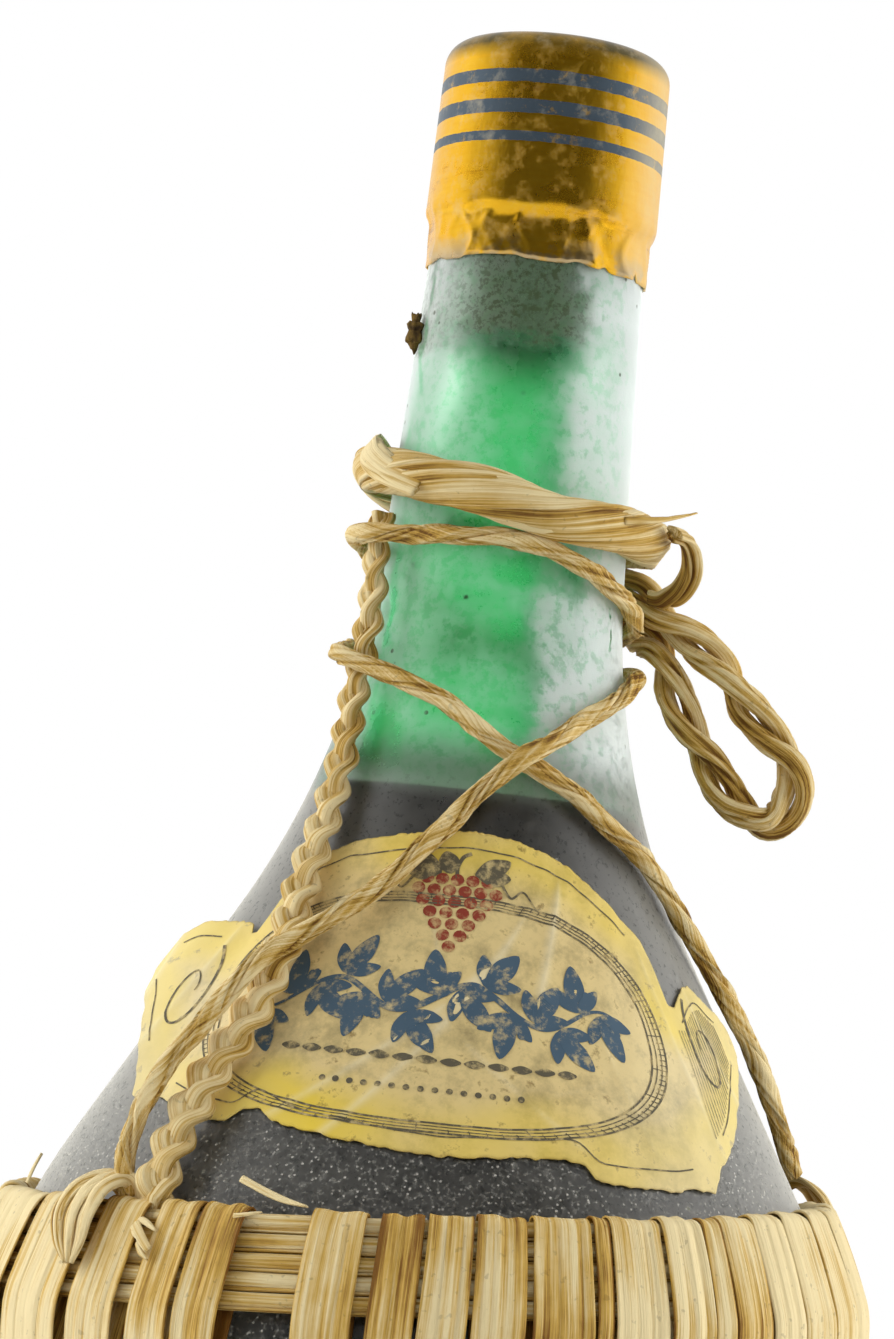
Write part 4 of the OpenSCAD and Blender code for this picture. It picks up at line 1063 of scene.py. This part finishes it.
class Print:
    """Lines and spots of one ink, laid on the label's paper."""

    def __init__(self):
        self.points, self.faces = [], []

    def spot(self, bearing, share, x, y):
        """The place x across and y up, in millimetres, from a point of the label."""
        r, lean = glass(LABEL_Z + LABEL_H * share)
        return label_spot(bearing + math.degrees(x / r), share + y * math.cos(lean) / LABEL_H, 0.07)

    def line(self, stops, width, steps=6):
        """A line through stops (bearing, share); width is a number of millimetres or a function of 0 to 1."""
        count = (len(stops) - 1) * steps
        path = [along(stops, i / steps) for i in range(count + 1)]
        first = len(self.points)
        for i, (bearing, share) in enumerate(path):
            b0, s0 = path[max(0, i - 1)]
            b1, s1 = path[min(count, i + 1)]
            r, lean = glass(LABEL_Z + LABEL_H * share)
            run, rise = math.radians(b1 - b0) * r, (s1 - s0) * LABEL_H / math.cos(lean)
            size = math.hypot(run, rise) or 1
            half = (width(i / count) if callable(width) else width) / 2
            for way in (-1, 1):
                self.points.append(self.spot(bearing, share, -rise / size * half * way, run / size * half * way))
        for i in range(count):
            a = first + 2 * i
            self.faces.append((a, a + 2, a + 3, a + 1))

    def disc(self, bearing, share, radius):
        first = len(self.points)
        self.points.append(self.spot(bearing, share, 0, 0))
        for k in range(12):
            a = k * math.pi / 6
            self.points.append(self.spot(bearing, share, radius * math.cos(a), radius * math.sin(a)))
        self.faces += [(first, first + 1 + k, first + 1 + (k + 1) % 12) for k in range(12)]

    def leaf(self, bearing, share, turn, length, width):
        """A pointed leaf from its stalk, turned in degrees above the way right."""
        r, lean = glass(LABEL_Z + LABEL_H * share)
        reach = [length * i / 4 for i in range(5)]
        a = math.radians(turn)
        stops = [(bearing + math.degrees(d * math.cos(a) / r), share + d * math.sin(a) * math.cos(lean) / LABEL_H) for d in reach]
        self.line(stops, lambda t: 0.05 + width * math.sin(math.pi * t) ** 0.8)

    def build(self, name, material):
        mesh = bpy.data.meshes.new(name)
        mesh.from_pydata([tuple(p * MM) for p in self.points], [], self.faces)
        piece = bpy.data.objects.new(name, mesh)
        bpy.context.scene.collection.objects.link(piece)
        settle(piece, "bottle", "label_paper", material)


class FLASK_OT_label(bpy.types.Operator):
    """Cuts the paper label, creases it, lifts its ends and prints a vine on it"""

    bl_idname = "flask.label"
    bl_label = "Label"

    def execute(self, context):
        settings = context.scene.flask_label
        first, last = EDGE_B[0], EDGE_B[-1]
        top_nick, low_nick = wander(41, 170), wander(42, 170)

        def edges(bearing):
            u = (bearing - first) / (last - first)
            low = np.interp(bearing, EDGE_B, EDGE_LOW) + 0.004 * low_nick(u)
            return low, np.interp(bearing, EDGE_B, EDGE_TOP) + 0.003 * top_nick(u)

        def place(u, v):
            bearing = first + (last - first) * u
            low, top = edges(bearing)
            return label_spot(bearing, low + (top - low) * v)

        piece, uv = wrapped("paper_label", 360, 90, place)
        outline = [(b * 0.66, edges(b)[k] * LABEL_H) for b in np.linspace(first, last, 300) for k in (0, 1)]
        outline += [(b * 0.66, s * LABEL_H) for b in (first, last) for s in np.linspace(*edges(b), 12)]
        outline = np.array(outline)
        gap, fold = [], []
        for u, v in uv:
            bearing = first + (last - first) * u
            low, top = edges(bearing)
            fold.append(min(1, max(0, (abs(creased(bearing, low + (top - low) * v)) - 0.1) * 5)))
            gap.append(np.hypot(outline[:, 0] - bearing * 0.66, outline[:, 1] - (low + (top - low) * v) * LABEL_H).min())
        store = piece.data.attributes.new("edge", "FLOAT", "POINT")
        store.data.foreach_set("value", np.array(gap, np.float32))
        store = piece.data.attributes.new("crease", "FLOAT", "POINT")
        store.data.foreach_set("value", np.array(fold, np.float32))
        apply_modifier(piece, "SOLIDIFY", thickness=0.14 * MM, offset=-1)
        settle(piece, "bottle", "label_paper", paper_material(tuple(settings.paper), tuple(settings.yellow)), "label")
        self.print_frame(ink_material("grey_print", tuple(settings.grey), tuple(settings.paper), 0.03))
        self.print_vine(
            ink_material("blue_print", tuple(settings.blue), tuple(settings.paper), -0.02),
            ink_material("red_print", tuple(settings.red), tuple(settings.paper), 0.02))
        return {"FINISHED"}

    def print_frame(self, grey):
        """A ruled oval frame with ticks, and a thin line inside the paper's edge."""
        lines = Print()

        def oval(t, size):
            c, s = math.cos(t), math.sin(t)
            return (-4 + 49 * size * math.copysign(abs(c) ** 0.72, c), 0.445 + 0.35 * size * math.copysign(abs(s) ** 0.9, s))

        turns = [2 * math.pi * i / 72 for i in range(73)]
        for size, width in ((1.0, 0.26), (0.975, 0.14), (0.95, 0.14), (0.925, 0.26)):
            lines.line([oval(t, size) for t in turns], width, 3)
        for i in range(0, 144):
            t = 2 * math.pi * i / 144
            long = 0.925 if i % 6 == 0 else 0.965
            lines.line([oval(t, 1.0), oval(t, (1 + long) / 2), oval(t, long)], 0.12, 2)
        for edge, inset in ((EDGE_LOW, 0.055), (EDGE_TOP, -0.052)):
            for low_b, high_b in ((-50, 45), (-72, -60), (54, 70)):
                stops = [(b, float(np.interp(b, EDGE_B, edge)) + inset) for b in np.arange(low_b, high_b, 3.0)]
                lines.line(stops, 0.2, 4)
        for i in range(22):
            b = 51.5 + i * 0.9
            top = float(np.interp(b, EDGE_B, EDGE_TOP)) - 0.07
            low = float(np.interp(b, EDGE_B, EDGE_LOW)) + 0.07
            if top - low > 0.1:
                lines.line([(b, low), (b + 0.4, (low + top) / 2), (b + 0.2, top)], 0.1 + 0.004 * i, 3)
        for b, way in ((-62, 1), (59, -1)):
            stops = [(b + way * (1.2 + 3.6 * t) * math.cos(t * 7.5), 0.42 + 0.13 * (0.2 + t) * math.sin(t * 7.5)) for t in [i / 16 for i in range(17)]]
            lines.line(stops, lambda t: 0.16 + 0.3 * t, 3)
        for row, (share, reach) in enumerate(((0.300, 27), (0.215, 17))):
            for b in np.arange(-reach - 4, reach - 3.9, 4.2 - 1.8 * row):
                if row == 0:
                    lines.leaf(b, share, 0, 2.6, 1.1)
                    lines.disc(b + 3.3, share, 0.28)
                else:
                    lines.disc(b, share, 0.42)
        lines.build("grey_frame_print", grey)

    def print_vine(self, blue, red):
        """A bunch of grapes in red over a blue vine branch."""
        branch = Print()

        def stem(b):
            return 0.485 + 0.045 * math.sin(math.radians(b + 4) * 13) - 0.00003 * (b + 4) ** 2

        reach = [-41 + 74 * i / 36 for i in range(37)]
        branch.line([(b, stem(b)) for b in reach], lambda t: 0.35 + 0.55 * math.sin(math.pi * t), 3)
        for i in range(15):
            b = -38.5 + i * 4.9
            way = 1 if i % 2 else -1
            rise = math.degrees(math.atan2((stem(b + 1) - stem(b - 1)) * LABEL_H, 2 * 0.75))
            for turn, size in ((0, 6.6), (46, 4.6), (-46, 4.6)):
                branch.leaf(b, stem(b) + 0.012 * way, rise + way * 68 + turn, size, 0.42 * size)
            branch.disc(b + 2.4, stem(b + 2.4) + 0.05 * way, 0.5)
            branch.disc(b + 3.4, stem(b + 3.4) + 0.045 * way, 0.4)
        branch.build("blue_vine_print", blue)
        bunch = Print()
        for row, count in enumerate((5, 6, 5, 4, 3, 2, 1)):
            share = 0.845 - row * 0.034
            for k in range(count):
                bunch.disc(-3 + (k - (count - 1) / 2) * 4.0 + 0.3 * (row % 2), share, 0.85)
        bunch.build("red_bunch_print", red)
        stalk = Print()
        stalk.line([(-3, 0.85), (-3.4, 0.88), (-2.2, 0.915), (0, 0.93)], 0.5, 4)
        for turn, size in ((150, 5.2), (178, 4.2), (30, 5.2), (2, 4.2), (110, 3.4)):
            stalk.leaf(-3 + 5.2 * math.cos(math.radians(turn)), 0.862, turn, size, 2.6)
        for way in (-1, 1):
            stops = [(-3 + way * (9 + 13 * t), 0.845 - 0.05 * t + 0.018 * math.sin(t * 12)) for t in [i / 10 for i in range(11)]]
            stalk.line(stops, lambda t: 0.45 - 0.3 * t, 4)
        stalk.build("vine_leaf_print", bpy.data.materials["grey_print"])


RIM_Z = 115.2
RIM_RISE = 4.3
STRAW_T = 0.4
REED_R = 1.15
FOLD_L = 19.0
STRIP_LIFT = 1.2
BASE_R = 38.3
BASE_HALF_W = 8.0
BASE_H = 24.5
BASE_TALL = 13.0
FOLD_IN_R = REED_R + 0.3
REED_OFF = SEAT + FOLD_IN_R + STRAW_T
REED_PITCH = 2 * REED_R + 0.15
REEDS = 5
COLLAR_H = (REEDS - 1) * REED_PITCH
RELAX_H = 10.4
FRONT_STRIPS = [
    (-74.4, -60.2, 0.4), (-58.8, -46.8, 0.3), (-45.6, -38, 0.6), (-35.8, -29.8, 0.7), (-29.3, -23.4, 0.5),
    (-14.8, -7.8, 0.3), (-6.3, -0.9, 0.2), (-0.5, 5.3, 0.2), (5.7, 12.1, 0.2), (12.7, 20.4, 0.2),
    (20.8, 23, 0.2), (23.4, 30.6, 0.2), (30.9, 37.3, 0.2), (37.7, 40.6, 0.2), (41, 47.6, 0.2),
    (48, 55, 0.4), (55.4, 63.8, 0.5), (64.4, 73.6, 0.6)]
BACK_STRIPS = 22
STRIP_GAP = 0.6


def rim_at(bearing):
    return RIM_Z + RIM_RISE * math.sin(math.radians(bearing))


def top_reed_z(bearing):
    rim = rim_at(bearing)
    return rim - FOLD_IN_R - STRAW_T - REED_OFF * math.sin(glass(rim)[1])


def reed_z(bearing, i):
    top = top_reed_z(bearing)
    return top - i * REED_PITCH * math.cos(glass(top)[1])


def base_point(angle, off):
    a = math.radians(angle)
    return BASE_R + (BASE_HALF_W + off) * math.cos(a), BASE_H - BASE_TALL + (BASE_TALL + off) * math.sin(a)


def strip_path(reed):
    """The middle of a strip's thickness, from under the base ring to its end inside the collar."""
    t = STRAW_T / 2
    path = [base_point(a, SEAT + t) for a in range(-48, 1, 6)]
    start = base_point(0, SEAT)
    reach = math.hypot(start[0] - (BULB_R - LOWER_ARC_R), start[1] - BULB_Z)
    angle = math.atan2(start[1] - BULB_Z, start[0] - (BULB_R - LOWER_ARC_R)) + math.acos((LOWER_ARC_R + STRIP_LIFT) / reach)
    leg = BULB_Z + LOWER_ARC_R * math.sin(angle)
    path += [skin(z, STRIP_LIFT + t) for z in np.arange(leg, reed - COLLAR_H - RELAX_H - 2, 3.0)]
    out = REED_OFF + FOLD_IN_R
    for h in np.arange(COLLAR_H + RELAX_H, 1.9, -1.0):
        off = out - (out - STRIP_LIFT) * ease((h - COLLAR_H) / RELAX_H)
        path.append(skin(reed - h, off + t))
    lean = math.degrees(glass(reed)[1])
    path += arc(skin(reed, REED_OFF), FOLD_IN_R + t, lean, lean + 180, 12)
    path += [skin(reed - h, SEAT + STRAW_T - t) for h in np.arange(4, FOLD_L + 0.1, 3.0)]
    return np.array(path)


class FLASK_OT_basket(bpy.types.Operator):
    """Plaits the basket: its base ring, its reeds, and the straw strips folded over the top reed"""

    bl_idname = "flask.basket"
    bl_label = "Straw basket"

    def execute(self, context):
        back_from = FRONT_STRIPS[-1][1] + STRIP_GAP
        pitch = (FRONT_STRIPS[0][0] + 360 - back_from) / BACK_STRIPS
        back = [(back_from + i * pitch, back_from + (i + 1) * pitch - STRIP_GAP, 0.45 + 0.25 * math.sin(math.radians(i * 97))) for i in range(BACK_STRIPS)]
        for i, (left, right, crest) in enumerate(FRONT_STRIPS + back):
            self.strip(context, i + 1, left, right, crest)
        for i in range(REEDS):
            self.reed(context, i)
        self.base_ring(context)
        self.frayed_ends(context)
        return {"FINISHED"}

    def strip(self, context, number, left, right, crest):
        """One leaf: ridged along its length, bowed across it, split in places and folded over the top reed."""
        rng = random.Random(500 + number)
        path = strip_path(top_reed_z((left + right) / 2) + crest)
        reach = np.concatenate([[0], np.cumsum(np.linalg.norm(np.diff(path, axis=0), axis=1))])
        seen_from = float(np.interp(84, path[:30, 1], reach[:30]))
        width = math.radians(right - left) * 57
        ridge = context.scene.flask_straw.ridge / MM
        waves = [(rng.uniform(0.7, 1.2) * width * (k + 1) / 1.6, rng.uniform(0, 6.3), rng.uniform(0.4, 1) / (1 + 0.35 * k)) for k in range(4)]
        splits = [rng.uniform(0.15, 0.85) for _ in range(rng.choice((1, 2, 2, 3)) if width > 4 else 1)]
        bow, curl_l, curl_r = rng.uniform(0.05, 0.3), rng.uniform(-0.25, 0.35), rng.uniform(-0.25, 0.45)
        sway, roll, pinch = wander(rng.random(), 6), wander(rng.random(), 7), wander(rng.random(), 6)
        columns, rows = max(10, int(width / 0.27)), 120

        def spread(v):
            return seen_from * v / 0.25 if v < 0.25 else seen_from + (reach[-1] - seen_from) * (v - 0.25) / 0.75

        def place(u, v):
            s = spread(v)
            r, z = np.interp(s, reach, path[:, 0]), np.interp(s, reach, path[:, 1])
            dr = np.interp(s + 0.4, reach, path[:, 0]) - np.interp(s - 0.4, reach, path[:, 0])
            dz = np.interp(s + 0.4, reach, path[:, 1]) - np.interp(s - 0.4, reach, path[:, 1])
            size = math.hypot(dr, dz) or 1
            outer = ease((reach[-1] - 24 - s) / 3)
            off = ridge * sum(amp * math.sin(f * u + ph) for f, ph, amp in waves)
            off -= sum(0.22 * math.exp(-(((u - at + 0.02 * sway(v)) * width / 0.22) ** 2)) for at in splits) * outer
            off += bow * (1 - (2 * u - 1) ** 2) * outer
            off += (curl_l * max(0, 1 - u * width / 1.1) ** 2 + curl_r * max(0, 1 - (1 - u) * width / 1.1) ** 2) * outer
            off += 0.16 * roll(v) * (2 * u - 1) * outer
            off = max(off, -0.3)
            middle, half = (left + right) / 2, (right - left) / 2
            bearing = middle + 0.25 * sway(v) + (2 * u - 1) * half * (0.98 + 0.03 * pinch(v))
            return on_bearing(bearing, r + off * dz / size, z - off * dr / size)

        piece, uv = wrapped(f"straw_leaf_{number:02d}", columns, rows, place)
        shift = rng.uniform(0, 500)
        # Painted light: strips further round towards the sides get a lower tone, so they are painted lighter, as the
        # side lamps light them.
        base = rng.uniform(0.26, 0.56) - 0.3 * ease((abs((left + right) / 2) - 12) / 45)
        stains = wander(rng.random(), 9)
        grain = [(u * width + shift, shift, spread(v) + shift) for u, v in uv]
        # Painted shade: the tone is raised along each strip's edges, where shade falls between strips. It is also
        # raised on the end folded in under the reed, and varies with stains along the strip.
        tone = [base + 0.2 * stains(v) + 0.25 * math.exp(-min(u, 1 - u) * width / 0.35) + 0.25 * ease((reach[-1] - 17 - spread(v)) / -3) for u, v in uv]
        write_grain(piece, grain, tone)
        apply_modifier(piece, "SOLIDIFY", thickness=0.26 * MM, offset=0)
        settle(piece, "bottle", "straw", straw(context), f"strip_{number}")

    def reed(self, context, i):
        """A reed of the collar: a broad flat stalk with a thin one under it."""
        left, right = skin(reed_z(-90, i), REED_OFF), skin(reed_z(90, i), REED_OFF)
        tilt = math.atan2(right[1] - left[1], right[0] + left[0])
        ring = math.hypot(right[0] + left[0], right[1] - left[1]) / 2
        middle = Vector(((right[0] - left[0]) / 2, 0, (right[1] + left[1]) / 2))
        turn = Matrix.Rotation(-tilt, 3, "Y")
        stops = [(b, 0, 0) for b in range(-180, 181, 6)]

        def spot(b, _, __):
            return turn @ on_bearing(b, ring, 0) + middle

        route = Route(stops, 0.9, spot=spot, out=Vector((0, 0, 1)))
        strands = Strands(60 + i)
        wave = np.array([wander(61 + i, 40)(x / route.length) for x in route.s])
        strands.add(route, lift=0.2 + 0.06 * wave, side=0.08 * wave, half_w=0.8, half_t=0.92, tone=0.3 + 0.2 * wave, closed=True)
        strands.add(route, lift=-0.84 - 0.04 * wave, side=-0.1 * wave, half_w=0.7, half_t=0.3, tone=0.5, closed=True)
        settle(strands.build(f"collar_reed_{i + 1}"), "bottle", "straw", straw(context), f"reed_{i + 1}")

    def base_ring(self, context):
        """A ring of coiled straw, bound round and round, flat on the floor and hollowed by the flask."""
        binding = [wander(70 + k, 30) for k in range(2)]

        def under_bulb(r):
            inside = (LOWER_ARC_R + SEAT) ** 2 - (r - (BULB_R - LOWER_ARC_R)) ** 2
            return BULB_Z - math.sqrt(max(0, inside))

        def place(u, v):
            turn = u * 360
            a = v * 360 - 90
            wrap = math.sin(math.radians(turn * 56) + math.radians(a) * 1.2)
            dip = -0.55 + 0.4 * abs(wrap) ** 0.6 + 0.12 * binding[0](u)
            r, z = base_point(a, dip)
            return on_bearing(turn, r, max(0.0, min(z, under_bulb(r))))

        piece, uv = wrapped("bound_base_ring", 900, 36, place)
        write_grain(piece, [(u * 240 * 0.5, 0, math.radians(v * 360) * 10) for u, v in uv], [0.45 + 0.2 * binding[1](u) for u, v in uv])
        deselect_all()
        piece.select_set(True)
        context.view_layer.objects.active = piece
        bpy.ops.object.mode_set(mode="EDIT")
        bpy.ops.mesh.select_all(action="SELECT")
        bpy.ops.mesh.remove_doubles(threshold=0.003 * MM)
        bpy.ops.mesh.normals_make_consistent(inside=False)
        bpy.ops.object.mode_set(mode="OBJECT")
        settle(piece, "bottle", "straw", straw(context), "base_ring")

    def frayed_ends(self, context):
        """Loose straws and broken ends that stick out at the rim."""
        strands = Strands(80)
        straws = [
            ([[-26.2, 115.4, 3.0], [-22.5, 114.3, 3.2], [-19, 113.4, 3.5], [-15.6, 112.7, 4.4]], 0.5, 0.3),
            ([[-66.2, 110.6, 4.2], [-66.3, 112.4, 4.4], [-66.4, 114.2, 4.4]], 0.4, 0.2),
            ([[-24.6, 110.6, 4.6], [-22.8, 110.8, 5.0], [-20.8, 111.2, 5.2]], 0.3, 0.2),
            ([[-38.6, 108.2, 4.1], [-37.2, 107.4, 4.9], [-35.6, 106.3, 5.1], [-34.4, 105.4, 5.0]], 0.75, 0.25),
            ([[-38.4, 108.9, 3.9], [-36.6, 108.5, 4.5], [-34.6, 107.7, 4.6]], 0.5, 0.2),
            ([[-37.2, 106.3, 4.0], [-35.8, 105.2, 4.6], [-34.4, 104.4, 4.6]], 0.45, 0.2)]
        for stops, half_w, half_t in straws:
            route = Route(stops, 0.3)
            taper = 1 - (0.8 if half_w < 0.6 else 0.25) * (route.s / route.length) ** 3
            strands.add(route, half_w=half_w * taper, half_t=half_t, tone=0.1, sides=10, folds=1)
        settle(strands.build("frayed_straws"), "bottle", "straw", straw(context))


class FLASK_OT_husk(bpy.types.Operator):
    """Sticks a scrap of dry husk to the side of the neck"""

    bl_idname = "flask.husk"
    bl_label = "Husk"

    def execute(self, context):
        middle = on_glass(-74, 229.8, 0.9)
        deselect_all()
        bpy.ops.mesh.primitive_ico_sphere_add(subdivisions=4, radius=MM, location=middle * MM)
        piece = context.object
        piece.name = piece.data.name = "dry_husk"
        rest_at_origin(piece)
        rough = [wander(95 + k, 8) for k in range(3)]
        for vertex in piece.data.vertices:
            way = vertex.co / MM - middle
            size = 1 + 0.5 * rough[0](0.5 + 0.5 * way.z) + 0.35 * rough[1](0.5 + 0.5 * way.x) * rough[2](0.5 + 0.5 * way.y)
            vertex.co = (middle + Vector((way.x * 0.9, way.y * 0.9, way.z * 2.6)) * size) * MM
        bpy.ops.object.shade_smooth()
        settle(piece, "bottle", "straw", husk_material())
        return {"FINISHED"}


class FLASK_PT_panel(bpy.types.Panel):
    """Lists the flask's settings and the operators that build it"""

    bl_idname = "FLASK_PT_panel"
    bl_label = "Straw-covered flask"
    bl_space_type = "VIEW_3D"
    bl_region_type = "UI"
    bl_category = "Flask"

    def draw(self, context):
        for group in SETTINGS:
            box = self.layout.box()
            box.label(text=group.title())
            settings = getattr(context.scene, "flask_" + group)
            for key in settings.__annotations__:
                box.prop(settings, key)
        for operator in OPERATORS:
            self.layout.operator(operator.bl_idname)


SETTINGS = {
    "stage": FLASK_PG_stage, "cords": FLASK_PG_cords, "glass": FLASK_PG_glass, "foil": FLASK_PG_foil,
    "label": FLASK_PG_label, "straw": FLASK_PG_straw,
}
OPERATORS = (
    FLASK_OT_stage, FLASK_OT_hanging_loop, FLASK_OT_cords, FLASK_OT_glass, FLASK_OT_capsule, FLASK_OT_label,
    FLASK_OT_basket, FLASK_OT_husk,
)


def register():
    for name, group in SETTINGS.items():
        bpy.utils.register_class(group)
        setattr(bpy.types.Scene, "flask_" + name, bpy.props.PointerProperty(type=group))
    for operator in OPERATORS:
        bpy.utils.register_class(operator)
    bpy.utils.register_class(FLASK_PT_panel)


def unregister():
    bpy.utils.unregister_class(FLASK_PT_panel)
    for operator in reversed(OPERATORS):
        bpy.utils.unregister_class(operator)
    for name, group in SETTINGS.items():
        delattr(bpy.types.Scene, "flask_" + name)
        bpy.utils.unregister_class(group)


def main():
    register()
    for operator in OPERATORS:
        package, name = operator.bl_idname.split(".")
        getattr(getattr(bpy.ops, package), name)()


if __name__ == "__main__":
    main()
